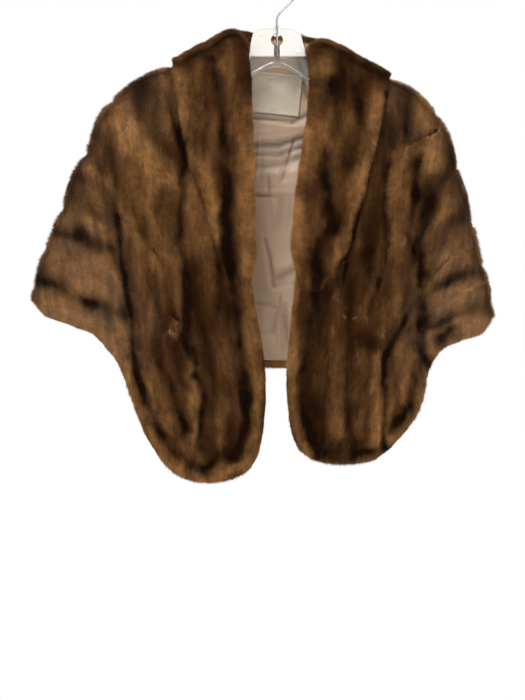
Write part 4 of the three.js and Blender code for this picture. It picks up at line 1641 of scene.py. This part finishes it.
@dataclass
class Collar:
    """One half of the shawl collar, from its foot on a front to the middle of the back."""

    cut: FrontCut
    front: FrontPanel
    back: BackPanel
    marks: tuple
    seed: int
    seam_x: float = 0.0
    press: float = 7.0
    foot_sunk: float = 7.0
    foot_sinks_over: float = 75.0
    faced: float = 17.0
    facing: float = 0.85
    fine_rows: int = 150
    fine_columns: int = 52
    base_gold: float = 0.11
    base_dark: float = 0.30
    # painted light on the collar's crest
    crest_painted_light: float = 0.36
    crest_half: float = 30.0
    dark_sinks: float = 2.4
    swell: float = 1.4

    def share(self, u: float) -> float:
        """Where its outer edge crosses a station.

        Args:
            u: the station, a place along the front.

        Returns:
            The place across the front.
        """
        v = np.arange(0.002, 0.6, 0.002)
        p = self.front.point(np.full(v.shape, u), v)
        edge = np.array(self.cut.collar_edge)
        limit = np.interp(-p[:, 2], -edge[:, 1], edge[:, 0])
        outside = p[:, 0] * self.cut.side > limit * self.cut.side
        return float(v[np.argmax(outside)]) if outside.any() else 0.6

    def section(
        self, panel: Panel, u: float, share: float, rolled: float, stand: float, curl: float
    ) -> Array:
        """One station across the collar's underside.

        Args:
            panel: the front or the back that it lies on.
            u: the station.
            share: where the outer edge is, as a place across the panel.
            rolled: how far it is rolled over, from 0 flat to 1.
            stand: how high its roll stands over the neck, in mm.
            curl: how far the outer edge is ahead of the neck, along the panel.

        Returns:
            Points from the neck to the outer edge, in mm.
        """
        edge = panel.point(one(u), one(0))[0]
        n = panel.normal(one(u), one(0))[0]
        past = unit(edge - panel.point(one(u), one(0.02))[0])
        out = edge - np.array([2, 4, 0])
        out[2] = 0
        out = unit(out)
        rows = []
        for (rise, away), (above, over) in zip(ROLL, WRAP):
            neck = edge + past * 1.2 + np.array([0, 0, stand * rise]) + out * away
            rows.append((edge + past * over + n * above) * (1 - rolled) + neck * rolled)
        above = FUR + COLLAR_CLEAR
        lift = rows[-1] - edge - n * above
        t = np.arange(1, 10) / 9
        at, v = u + curl * t**3, share * t
        p = panel.point(at, v) + panel.normal(at, v) * above
        p = p + lift * (np.maximum(0, 1 - t / COLLAR_TOUCH) ** 1.3)[:, None]
        points = np.vstack([rows, p])
        for _ in range(4):
            eased = points[2:10] * 0.5 + (points[1:9] + points[3:11]) * 0.25
            points[2:10] += (eased - points[2:10]) * rolled
        return points

    def under(self) -> Array:
        """The grid of its underside, station by station from the foot."""
        shoulder = STAND["left" if self.cut.side < 0 else "right"]
        stations = []
        for u in COLLAR_FOOT_U + np.array(FRONT_STATIONS):
            curl = COLLAR_SLANT * float(np.clip(1 - (u - COLLAR_FOOT_U) / 0.2, 0, 1))
            rolled = float(smooth((u - 0.8) / 0.17))
            share = self.share(min(1, u + curl))
            stations.append(self.section(self.front, u, share, rolled, shoulder, curl))
        ridge_share = self.share(1)
        for u in BACK_STATIONS:
            fall = float(smooth(u / 0.35))
            share = ridge_share + (COLLAR_DROP_BACK - ridge_share) * fall
            stand = shoulder + (STAND["back"] - shoulder) * float(smooth(u / 0.3))
            at = u if self.cut.side < 0 else 1 - u
            stations.append(self.section(self.back, at, share, 1.0, stand, 0.0))
        stations[-1][:, 0] = self.seam_x + self.cut.side * SEAM_GAP / 2
        return np.array(stations)

    def coat(self) -> Coat:
        """The collar's fur, thinning to its foot."""
        coarse = self.under()
        rows = np.linspace(0, len(coarse) - 1, self.fine_rows)
        columns = np.linspace(0, coarse.shape[1] - 1, self.fine_columns)
        under = refined(coarse, rows, columns)
        along = unit(np.gradient(under, axis=0))
        across = unit(np.gradient(under, axis=1))
        normal = unit(np.cross(along, across)) * -self.cut.side
        normal[-1, :, 0] = 0
        normal = unit(normal)
        steps = np.linalg.norm(np.diff(under, axis=0), axis=2)
        from_foot = np.vstack([np.zeros(under.shape[1]), np.cumsum(steps, axis=0)])
        widths = np.linalg.norm(np.diff(under, axis=1), axis=2)
        from_neck = np.hstack([np.zeros((len(under), 1)), np.cumsum(widths, axis=1)])
        to_rim = from_neck[:, -1:] - from_neck
        press = self.press * (1 - 0.75 * smooth((under[..., 2] + 230) / 60))
        sunk = press * (1 - smooth(to_rim / 48))
        sunk = sunk + self.foot_sunk * (1 - smooth(from_foot / self.foot_sinks_over))
        under = under - normal * sunk[..., None]
        to_edge = np.minimum(np.minimum(to_rim, from_neck + 1.5), from_foot)
        end = COLLAR_END_NAP + (1 - COLLAR_END_NAP) * smooth(from_foot / COLLAR_END)
        height = FUR * np.minimum(rounded_edge(to_edge), end)
        x, z = under[..., 0], under[..., 2]
        in_front = under[..., 1] < 6
        dark = marked(self.marks, x, z, Tone.DARK) * in_front
        behind = bell(columns / columns[-1] - 0.62, 0.13)[None] * ~in_front
        run = np.stack([from_foot, from_neck, 0 * from_foot], axis=-1)
        cloud = soft_noise(under, 50, self.seed + 5) * 0.5 + soft_noise(under, 20, self.seed) * 0.3
        cloud = cloud + soft_noise(run * (0.26, 1, 1), 15, self.seed + 8) * 0.7
        light = marked(self.marks, x, z, Tone.GOLD) * in_front
        gold = np.maximum(self.base_gold, light)
        dark = np.maximum(dark, self.base_dark * (1 - light))
        # painted light on the collar's crest: less dark and more gold there
        crest = bell(under[..., 1] - 6, self.crest_half)
        behind = behind * 0.8 * (1 - crest)
        dark = dark * (1 - 0.55 * crest)
        gold = np.maximum(gold, self.crest_painted_light * crest)
        height = worn_height(height, x, z, self.marks)
        height = height - self.dark_sinks * np.clip(dark, 0, 1) * smooth((to_edge - 4) / 12)
        swell = soft_noise(under, 26, self.seed + 7) * self.swell
        height = height + swell * smooth(to_edge / 12)
        falling = smooth(from_neck / 26 - 0.25)[..., None]
        flow = unit((-along * 0.8 + across * 0.3) * falling - across * (1 - falling) * 0.8)
        near_rim = bell(to_rim, 13)[..., None]
        near_foot = smooth(from_foot / 30)[..., None]
        flow = (flow * (1 - 0.3 * near_rim) + across * 0.4 * near_rim) * (0.5 + 0.5 * near_foot)
        faced = (from_neck < self.faced) * (under[..., 1] > 4) * (from_foot > 300)
        return Coat(
            under=under,
            normal=normal,
            height=np.maximum(height, LOWEST_NAP),
            flow=flow,
            stripe=np.clip(np.maximum(dark, behind * 0.8) + cloud * 0.26, 0, 1),
            gold=np.clip(gold - cloud * GOLD_CLOUD, 0, 1),
            worn=self.facing * faced,
            run=run,
        )


# Lining and label


@dataclass(frozen=True)
class Crease(Fold):
    """A trough of the lining, or a soft ridge above zero, and how much shade is painted along it.
    """

    # share of painted shade along the crease
    dark: float = 0.0


def creases(*rows: tuple) -> tuple[Crease, ...]:
    """Creases between two points of the picture each.

    Args:
        rows: for each crease the column and row of both ends, its width, its height and,
            where shade is painted along it, how dark.

    Returns:
        The creases, in the same order.
    """
    return tuple(
        Crease(*at_pixel(*row[:2]), *at_pixel(*row[2:4]), *row[4:]) for row in rows
    )


# Where a crease gives a last number, shade is painted along it: the shadow line under the label,
# the dark tucks and a broad shade low on the back.
BACK_CREASES = creases(
    (240, 114, 276, 117.5, 2.6, -3, 0.9), (276, 117.5, 294, 119.5, 2.6, -3, 0.9),
    (294, 119.5, 310, 111.5, 2.8, -3, 0.8), (240, 121, 310, 123, 6, 2.2),
    (252, 131, 306, 126, 5, 2), (250, 143.5, 279, 143, 5, -3.4, 0.85),
    (279, 143, 308, 134, 5, -3.4, 0.9), (250, 139, 306, 131, 3, 1.8),
    (250, 152.5, 280, 152.5, 4, -2.8, 0.7), (280, 152.5, 306, 144, 4.6, -3.2, 0.85),
    (252, 157, 303, 151, 3.2, 2.2), (252, 165, 282, 164, 6, -2, 0.4),
    (280, 164, 303, 155, 6, -2.4, 0.45), (252, 172, 300, 170, 5, 1.6),
    (292, 137, 280.6, 177, 2.4, 2), (295, 139, 284, 177, 3, -1.2, 0.2),
    (259.5, 137, 256.6, 177, 2.4, 1.4), (262, 138, 260, 176, 2.6, -0.9, 0.12),
    (268, 175, 269, 190, 2.8, -1.4, 0.3), (240, 191, 310, 191, 2, 2.2),
    (240, 193.6, 310, 193.6, 1.6, -2.4, 0.55), (282, 198, 280, 222, 7.8, -1, 0.3),
    (290, 200, 288, 226, 6.5, -1, 0.21), (273, 196, 277, 226, 4.68, 1),
    (278, 224, 292, 228, 6.5, 0.8), (265, 237, 270, 256, 2.47, -1.6, 0.57),
    (270, 256, 274.5, 287, 2.6, -1.7, 0.6), (261, 238, 269, 288, 5.85, 1),
    (279, 277, 294, 270, 7.02, -1.4, 0.48), (277, 269, 292, 264, 5.2, 1.1),
    (276, 286, 294, 283, 5.72, -1, 0.21), (274, 291, 292, 287, 4.68, 1.2),
    (257, 303, 276, 306, 3.64, -1.2, 0.42), (256, 299, 280, 297, 5.2, 0.9),
    (281, 296, 279, 312, 2.86, -1.1, 0.3), (276, 312, 281, 344, 3.12, 1.5),
    (284, 316, 290, 346, 9.1, -1.3, 0.45), (280, 308, 273, 332, 6.5, -1.1, 0.36),
    (264, 292, 288, 350, 19.5, -0.3, 0.15), (285, 305, 284, 352, 4.42, -1, 0.27),
    (289, 305, 289, 352, 5.2, 0.8), (264, 312, 261, 352, 6.5, 0.9),
    (258, 330, 272, 334, 3.38, -0.9, 0.24), (240, 362.5, 310, 362.5, 1.8, -2.2, 0.7),
    (304, 50, 314, 92, 4, 2.4), (300, 58, 308, 96, 3, -2.4, 0.6), (312, 48, 320, 70, 4, 2),
    (308, 52, 316, 74, 2.6, -2, 0.6), (150, 200, 200, 300, 16, 2.6),
    (170, 260, 150, 340, 14, 2.4), (350, 180, 400, 320, 16, 2.6), (380, 240, 390, 350, 14, 2.2),
    (100, 180, 230, 190, 12, 2), (330, 190, 440, 200, 12, 2),
)
LEFT_CREASES = creases(
    (230, 200, 215, 420, 9, 2.4), (190, 250, 180, 440, 10, 2.6), (150, 200, 165, 380, 12, 2.4),
    (100, 170, 140, 330, 12, 2.2), (240, 380, 190, 400, 7, 1.8), (225, 440, 170, 430, 7, 1.6),
)
RIGHT_CREASES = creases(
    (325, 210, 330, 420, 9, 2.4), (365, 250, 352, 430, 10, 2.6), (400, 200, 385, 380, 12, 2.4),
    (450, 180, 420, 320, 12, 2.2), (300, 370, 350, 390, 7, 1.8), (330, 440, 380, 425, 7, 1.6),
)


@dataclass
class LiningPiece:
    """One panel of the satin lining, a thin shell with its creases."""

    name: str
    panel: Panel
    u: Array
    rows: int
    creases: tuple
    flat: tuple
    area: float
    free_foot: bool
    seed: int
    lift: float = 2.6
    thick: float = 0.7

    def build(self) -> bpy.types.Object:
        u, t = np.meshgrid(self.u, np.linspace(0, 1, self.rows), indexing="ij")
        width = self.panel.width(u)
        v = (LINING_INSET + t * (width - 2 * LINING_INSET)) / width
        p, n = self.panel.point(u, v), self.panel.normal(u, v)
        x, z = p[..., 0], p[..., 2]
        creased = sum(c.at(x, z) for c in self.creases)
        creased = creased + soft_noise(p, 34, self.seed) * 0.8 + soft_noise(p, 13, self.seed) * 0.3
        rim = smooth(np.minimum(t, 1 - t) * width / 10)
        if self.free_foot:
            rim = rim * smooth((u - self.u[0]) * self.panel.length(v) / 10)
        fade = rim * smooth(np.minimum(u - self.u[0], self.u[-1] - u) * 60)
        rise = LINING_GAP + self.lift * rim + creased * fade
        nearest = LINING_GAP + 0.1
        rise = nearest + np.logaddexp(0, (rise - nearest) * 2) / 2
        near = p - n * rise[..., None]
        far = p - n * (rise + self.thick)[..., None]
        ob = shell_object(self.name, near, far)
        # painted shade: each crease with a dark share darkens the satin along its line
        dark = np.zeros(x.shape)
        for c in self.creases:
            if c.dark:
                dark = np.maximum(dark, c.at(x, z) / c.depth * c.dark)
        crease_shade = np.repeat(dark.reshape(-1, 1), 4, axis=1)
        paint(ob, "crease_shade", np.vstack([crease_shade, crease_shade]))
        ob.data.materials.append(SatinFinish(f"{self.name}_finish").make())
        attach(ob, "root")
        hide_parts(self.name.replace("satin", "lining"))
        return ob


def place_under(panel: Panel, x: Array, z: Array) -> tuple[Array, Array]:
    """The places of a panel under points of the front view, found step by step.

    Args:
        panel: the surface.
        x: places across, in mm.
        z: places up, in mm.

    Returns:
        The places along it and across it.
    """
    u, v = np.full(x.shape, 0.5), np.full(x.shape, 0.2)
    h = 1e-3
    for _ in range(12):
        p = panel.point(u, v)
        du, dv = (panel.point(u + h, v) - p) / h, (panel.point(u, v + h) - p) / h
        det = du[..., 0] * dv[..., 2] - dv[..., 0] * du[..., 2]
        ex, ez = x - p[..., 0], z - p[..., 2]
        u = u + (ex * dv[..., 2] - dv[..., 0] * ez) / det
        v = v + (du[..., 0] * ez - ex * du[..., 2]) / det
    return u, v


@dataclass
class ClothLabel:
    """The bare cloth label sewn to the lining under the neck."""

    back: BackPanel
    width: float = 98.0
    height: float = 66.0
    x: float = -10.0
    z: float = -198.0
    tilt: float = 0.1
    above: float = LINING_GAP + 5.4
    thick: float = 0.6
    hem: float = 5.0
    hem_thick: float = 0.35
    stitch_inset: float = 2.2
    stitch_step: float = 3.0
    thread: tuple = ((0, 0.3), (0.26, -0.15), (-0.26, -0.15))

    def surface(self, dx: Array, dz: Array, above: float) -> Array:
        """Points over the lining.

        Args:
            dx: distances across from the label's middle, in mm.
            dz: distances up from it.
            above: the height over the back's inner side.

        Returns:
            Points in mm, on the label's soft waves.
        """
        x = self.x + dx * math.cos(self.tilt) + dz * math.sin(self.tilt)
        z = self.z + dz * math.cos(self.tilt) - dx * math.sin(self.tilt)
        u, v = place_under(self.back, x, z)
        wave = 0.5 * np.sin(dx / 13 + 1) * np.cos(dz / 17) + 0.35 * np.sin(dz / 7 + dx / 31)
        p = self.back.point(u, v)
        return p - self.back.normal(u, v) * (above + wave)[..., None]

    def build(self) -> list[bpy.types.Object]:
        s, t = np.meshgrid(np.linspace(-0.5, 0.5, 67), np.linspace(0.5, -0.5, 43), indexing="ij")
        dx, dz = s * self.width, t * self.height
        past = np.maximum(abs(dx) - self.width / 2, abs(dz) - self.height / 2) + self.hem
        above = self.above + self.hem_thick * smooth(past / 2)
        top, low = (self.surface(dx, dz, above + thick) for thick in (0, self.thick))
        cloth = shell_object("cloth_label", top, low)
        cloth.data.materials.append(LabelFinish("label_finish").make())
        stitches = self.stitches()
        for ob in (cloth, stitches):
            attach(ob, "root")
        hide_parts("label")
        return [cloth, stitches]

    def stitches(self) -> bpy.types.Object:
        """Short slanting threads all round the label."""
        w, h = self.width / 2 - self.stitch_inset, self.height / 2 - self.stitch_inset
        corners = np.array([(-w, h), (w, h), (w, -h), (-w, -h), (-w, h)])
        points, faces = [], []
        for a, b in zip(corners, corners[1:]):
            long = np.linalg.norm(b - a)
            along = (b - a) / long
            aside = np.array([-along[1], along[0]])
            for d in np.arange(1.5, long - 1.5, self.stitch_step):
                first = len(points)
                for k in (-1, 0, 1):
                    c = a + along * (d + k * 0.9) + aside * k * 0.5
                    for across, up in self.thread:
                        q = c + aside * across
                        above = self.above + 0.95 + up * (1.6 if k == 0 else 0.8)
                        points.append(self.surface(one(q[0]), one(q[1]), above)[0])
                faces += [
                    (i, j, j + 3, i + 3)
                    for row in (first, first + 3)
                    for i, j in zip(range(row, row + 3), (row + 1, row + 2, row))
                ]
        ob = mesh_object("label_stitches", np.array(points), np.array(faces))
        ob.data.materials.append(ThreadFinish("thread_finish").make())
        return ob


# Hanger


@dataclass
class Hanger:
    """The clear plate and arms, and the wire hook."""

    wire: float = 3.4
    hook_radius: float = 32.0
    hook_end: float = 205.0
    stem_foot: float = -147.0
    plate_top: float = -94.0
    plate_thick: float = 3.0
    arm_deep: float = 9.0
    arm_tall: float = 7.0
    hole: float = 9.6
    hole_z: float = -114.5
    boss: float = 4.2
    arm_top: tuple = (
        (-202, -187), (-170, -182), (-120, -180), (-80, -181), (-58, -178), (-41, -169.6),
        (-17, -155), (0, -150.5), (20, -157.5), (41, -171.5), (57, -183), (80, -188),
        (120, -191), (170, -196.5), (202, -207),
    )
    plate: tuple = (
        (-50, -174), (-42, -119), (-37, -101), (-30, -95.5), (-22, -94), (20, -94),
        (29, -95.5), (36, -101), (42, -119), (54, -180), (28, -167), (0, -154), (-28, -165),
    )
    bead: float = 4.6
    bead_wide: float = 2.2
    stud_radius: float = 2.2
    studs: tuple = ((-25, -105), (27, -108), (34, -134))
    arm_grows: float = 4.0
    voxel: float = 0.0009
    bore_gap: float = 0.4
    wire_rings: int = 150
    wire_sides: int = 20

    def slab(self, outline: Array, thick: float) -> tuple[list, list]:
        """A flat outline made thick along Y.

        Args:
            outline: its points x and z, in mm.
            thick: the thickness.

        Returns:
            Points and faces.
        """
        points = [(x, y, z) for y in (-thick / 2, thick / 2) for x, z in outline]
        return points, prism_faces(len(outline))

    def ring(self, outline: Array, wide: float, thick: float) -> tuple[list, list]:
        """A bead that runs round inside an outline.

        Args:
            outline: the points x and z that it follows, in mm.
            wide: its width.
            thick: its thickness along Y.

        Returns:
            Points and faces.
        """
        n = len(outline)
        along = unit(np.roll(outline, -1, axis=0) - np.roll(outline, 1, axis=0))
        inner = outline + np.stack([along[:, 1], -along[:, 0]], axis=1) * wide
        points = [(x, y, z) for y in (-thick / 2, thick / 2) for x, z in (*outline, *inner)]
        faces = []
        for i in range(n):
            j = (i + 1) % n
            faces += [(i, j, n + j, n + i), (2 * n + i, 3 * n + i, 3 * n + j, 2 * n + j)]
            faces += [(i, 2 * n + i, 2 * n + j, j), (n + i, n + j, 3 * n + j, 3 * n + i)]
        return points, faces

    def build(self) -> list[bpy.types.Object]:
        """Makes the moulded body and the wire, and dresses them."""
        body, hook = self.body(), self.hook()
        body.data.materials.append(ClearPlasticFinish("clear_plastic_finish").make())
        hook.data.materials.append(WireFinish("wire_finish").make())
        for ob, slot, node in (
            (body, "clear_plastic", "hanger_body"), (hook, "wire", "hanger_hook"),
        ):
            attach(ob, "root")
            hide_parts(node)
        return [body, hook]

    def body(self) -> bpy.types.Object:
        """The plate, arms and socket melted into one moulding with rounded edges."""
        line = Curve(upright(self.arm_top))
        top = line.at(np.linspace(0, 1, 61))[:, [0, 2]]
        reach = abs(self.arm_top[0][0])
        deep = self.arm_tall + self.arm_grows * smooth(abs(top[:, 0]) / reach)
        under = top - np.stack([0 * deep, deep], axis=1)
        rim = Curve(upright(self.plate)).at(np.linspace(0, 1, 60))[:, [0, 2]]
        parts = [
            self.slab(np.vstack([top, under[::-1]]), self.arm_deep),
            self.slab(rim, self.plate_thick),
            self.slab(np.array(self.socket_outline()), 2 * self.boss),
            self.ring(rim[:-1], self.bead_wide, self.bead),
        ]
        around = np.linspace(0, 2 * np.pi, 17)[:-1]
        round_stud = np.stack([np.cos(around), np.sin(around)], axis=1) * self.stud_radius
        parts += [self.slab(round_stud + stud, self.bead) for stud in self.studs]
        ob = solid_object("clear_hanger", parts)
        melt = ob.modifiers.new("melt", "REMESH")
        melt.mode, melt.voxel_size = "VOXEL", self.voxel
        bore = self.wire / 2 + self.bore_gap
        cutters = [self.cutter("hole", self.hole, "Y"), self.cutter("bore", bore, "Z")]
        for cutter in cutters:
            subtract(ob, cutter)
        ease = ob.modifiers.new("ease", "SMOOTH")
        ease.factor, ease.iterations = 0.5, 3
        less = ob.modifiers.new("less", "DECIMATE")
        less.ratio = 0.3
        done = apply_all(ob)
        for cutter in cutters:
            bpy.data.objects.remove(cutter)
        done.polygons.foreach_set("use_smooth", np.ones(len(done.polygons), bool))
        return ob

    def socket_outline(self) -> list[tuple[float, float]]:
        """The socket that grips the wire, seen from the front."""
        top, foot = self.plate_top + 2, self.stem_foot - 4
        return [(-self.boss, foot), (-self.boss, top), (self.boss, top), (self.boss, foot)]

    def cutter(self, name: str, radius: float, axis: str) -> bpy.types.Object:
        """A round bar that cuts the plate.

        Args:
            name: the cut's name.
            radius: its radius, in mm.
            axis: "Y" for the plate's hole and "Z" for the wire's bore.

        Returns:
            The bar.
        """
        bm = bmesh.new()
        bmesh.ops.create_cone(
            bm, cap_ends=True, segments=40, radius1=radius * MM, radius2=radius * MM, depth=0.2
        )
        mesh = bpy.data.meshes.new(name)
        bm.to_mesh(mesh)
        bm.free()
        ob = linked(name, mesh)
        if axis == "Y":
            ob.rotation_euler = (math.pi / 2, 0, 0)
            ob.location = (0, 0, self.hole_z * MM)
        else:
            ob.location = (0, 0, (self.stem_foot - 0.4) * MM + 0.1)
        ob.hide_render = True
        return ob

    def hook(self) -> bpy.types.Object:
        """The wire: a straight stem, a bend and a round hook."""
        centre = self.wire / 2 - self.hook_radius
        bend = centre - self.hook_radius * math.sqrt(2)
        points = [(0, self.stem_foot), (0, (self.stem_foot + bend) / 2)]
        points += [(0, bend - 12), (0, bend - 5), (4, bend + 4)]
        for a in np.radians(np.linspace(-45, self.hook_end, 21)):
            r = self.hook_radius
            points.append((r * math.cos(a), centre + r * math.sin(a)))
        line = Curve(upright(points)).at(np.linspace(0, 1, self.wire_rings))
        around = np.linspace(0, 2 * np.pi, self.wire_sides, endpoint=False)
        along = unit(np.gradient(line, axis=0))
        out = np.cross(along, (0, 1, 0))
        swell = np.full(len(line), self.wire / 2)
        swell[0], swell[-1] = 0.05, 0.05
        swell[1], swell[-2] = self.wire / 2 * 0.8, self.wire / 2 * 0.8
        ring = np.cos(around)[:, None] * out[:, None]
        ring = ring + np.sin(around)[:, None] * np.array([0, 1, 0])
        tube = line[:, None] + ring * swell[:, None, None]
        tube = np.concatenate([tube, tube[:, :1]], axis=1)
        ob = mesh_object("wire_hook", tube.reshape(-1, 3), grid_faces(*tube.shape[:2]))
        face_outwards(ob, weld=1e-6)
        return ob


# Studio


@dataclass
class Studio:
    """The camera, the soft lights and the pale floor."""

    distance: float = 6.0
    target: tuple = (-23.2, -30.0, -612.8)
    tall: float = 1120.0
    sensor: float = 36.0
    lit: tuple = (0, 0, -0.45)
    lamps: tuple = (
        ("key", (-0.7, -2.0, 1.3), 1.2, 62), ("fill", (1.6, -1.8, 0.2), 1.4, 22),
        ("top", (0.1, -0.5, 1.5), 1.2, 26),
    )
    floor_ends: tuple = (-1500, -2600, 1500, 380)
    floor_z: float = -1250.0

    def build(self) -> None:
        """Sets the scene round the object."""
        scene = bpy.context.scene
        scene.view_settings.view_transform = "Standard"
        camera = bpy.data.cameras.new("camera")
        camera.sensor_width = self.sensor
        camera.lens = self.sensor * self.distance / (self.tall * MM)
        ob = bpy.data.objects.new("camera", camera)
        scene.collection.objects.link(ob)
        x, y, z = (c * MM for c in self.target)
        ob.location = (x, y - self.distance, z)
        ob.rotation_euler = (math.pi / 2, 0, 0)
        scene.camera = ob
        world = bpy.data.worlds.new("studio")
        world.use_nodes = True
        sky = world.node_tree.nodes["Background"].inputs
        sky["Color"].default_value, sky["Strength"].default_value = (1, 1, 1, 1), 1.0
        scene.world = world
        for lamp in self.lamps:
            self.light(*lamp)
        self.floor()

    def light(self, name: str, place: tuple, size: float, power: float) -> None:
        """A soft square light turned to the object.

        Args:
            name: its name.
            place: where it stands, in metres.
            size: its side, in metres.
            power: in watts.
        """
        lamp = bpy.data.lights.new(name, "AREA")
        lamp.energy, lamp.size = power, size
        ob = bpy.data.objects.new(name, lamp)
        bpy.context.collection.objects.link(ob)
        ob.location = place
        toward = Vector(self.lit) - Vector(place)
        ob.rotation_euler = toward.to_track_quat("-Z", "Y").to_euler()

    def floor(self) -> None:
        """A pale floor under the hanging wrap."""
        left, near, right, far = self.floor_ends
        corners = [(left, near), (right, near), (right, far), (left, far)]
        corners = np.array([(x, y, self.floor_z) for x, y in corners])
        ob = mesh_object("floor", corners, np.array([[0, 1, 2, 3]]))
        s = Shader("floor_finish", Roughness=0.8)
        s.link(s.mix(s.noise(3), (0.8, 0.8, 0.79, 1), (0.84, 0.84, 0.83, 1)), "Base Color")
        ob.data.materials.append(s.material)


FRONT_HAIRS = 165000
BACK_HAIRS = 165000
COLLAR_HAIRS = 98000


class FurWrap:
    """The whole wrap on its hanger."""

    def __init__(self) -> None:
        """Works out the panels on which every piece is made."""
        left_ridge, right_ridge = inset_ridge(LEFT), inset_ridge(RIGHT)
        self.left = FrontPanel(LEFT, left_ridge)
        self.right = FrontPanel(RIGHT, right_ridge)
        self.back = BackPanel(left_ridge, right_ridge)

    def furs(self) -> list[FurPiece]:
        """The five pieces of fur, the fronts first."""
        u = np.concatenate([np.linspace(0, 0.05, 9)[:-1], np.linspace(0.05, 1, 88)])
        rims = np.linspace(0, 0.03, 5)[:-1], np.linspace(0.97, 1, 5)[1:]
        v = np.concatenate([rims[0], np.linspace(0.03, 0.97, 66), rims[1]])
        fronts = []
        for name, panel, marks, fine, seed, area, slit in (
            ("fur_front_left", self.left, LEFT_MARKS, LEFT_FINE, 11, 0.166, None),
            ("fur_front_right", self.right, RIGHT_MARKS, RIGHT_FINE, 23, 0.152, Slit()),
        ):
            coat = panel_coat(panel, u, v, marks, seed)
            fronts.append(
                FurPiece(
                    name, coat, FRONT_HAIRS, seed, (0.50, 0.68), area, name, fine=fine,
                    panel=panel, slit=slit,
                )
            )
        coat = panel_coat(self.back, np.linspace(0, 1, 130), np.linspace(0, 1, 84), (), 37)
        back = FurPiece("fur_back", coat, BACK_HAIRS, 37, (0.84, 0.52), 0.31, "fur_back")
        collars = []
        for name, cut, panel, marks, fine, seed in (
            ("collar_left", LEFT, self.left, LEFT_MARKS, LEFT_FINE, 51),
            ("collar_right", RIGHT, self.right, RIGHT_MARKS, RIGHT_FINE, 67),
        ):
            coat = Collar(cut, panel, self.back, marks, seed).coat()
            collars.append(
                FurPiece(
                    f"fur_{name}", coat, COLLAR_HAIRS, seed, (0.16, 0.66), 0.062, name,
                    slot="collar_fur", fine=fine,
                )
            )
        return [*fronts, back, *collars]

    def linings(self) -> list[LiningPiece]:
        """The three panels of satin."""
        middle = np.linspace(0.385, 0.60, 76)
        sides = np.linspace(0, 0.385, 30)[:-1], np.linspace(0.60, 1, 30)[1:]
        back = np.concatenate([sides[0], middle, sides[1]])
        front = np.linspace(0.02, 1, 58)
        side = (0.48, 0.66)
        rows = (
            ("satin_back", self.back, back, 130, BACK_CREASES, (0.82, 0.50), 0.275, False, 71),
            ("satin_left", self.left, front, 46, LEFT_CREASES, side, 0.148, True, 72),
            ("satin_right", self.right, front, 46, RIGHT_CREASES, side, 0.134, True, 73),
        )
        return [LiningPiece(*row) for row in rows]

    def build(self) -> None:
        """Builds and dresses every piece in order."""
        makers: list[Callable] = [Hanger().build]
        makers += [piece.build for piece in self.furs()]
        makers += [piece.build for piece in self.linings()]
        makers.append(ClothLabel(self.back).build)
        for make in makers:
            made = make()
            for ob in made if isinstance(made, list) else [made]:
                log.info("%s: %d faces", ob.name, len(ob.data.polygons))


def measure(ob: bpy.types.Object) -> float:
    """Half of a mesh's surface, in square metres."""
    return sum(p.area for p in ob.data.polygons) / 2


def main() -> None:
    """Builds the wrap and the studio."""
    FurWrap().build()
    Studio().build()
    for ob in bpy.data.objects:
        if ob.name.endswith("_pelt") or ob.name.startswith("satin"):
            log.info("%s: %.4f square metres", ob.name, measure(ob))


if __name__ == "__main__":
    main()
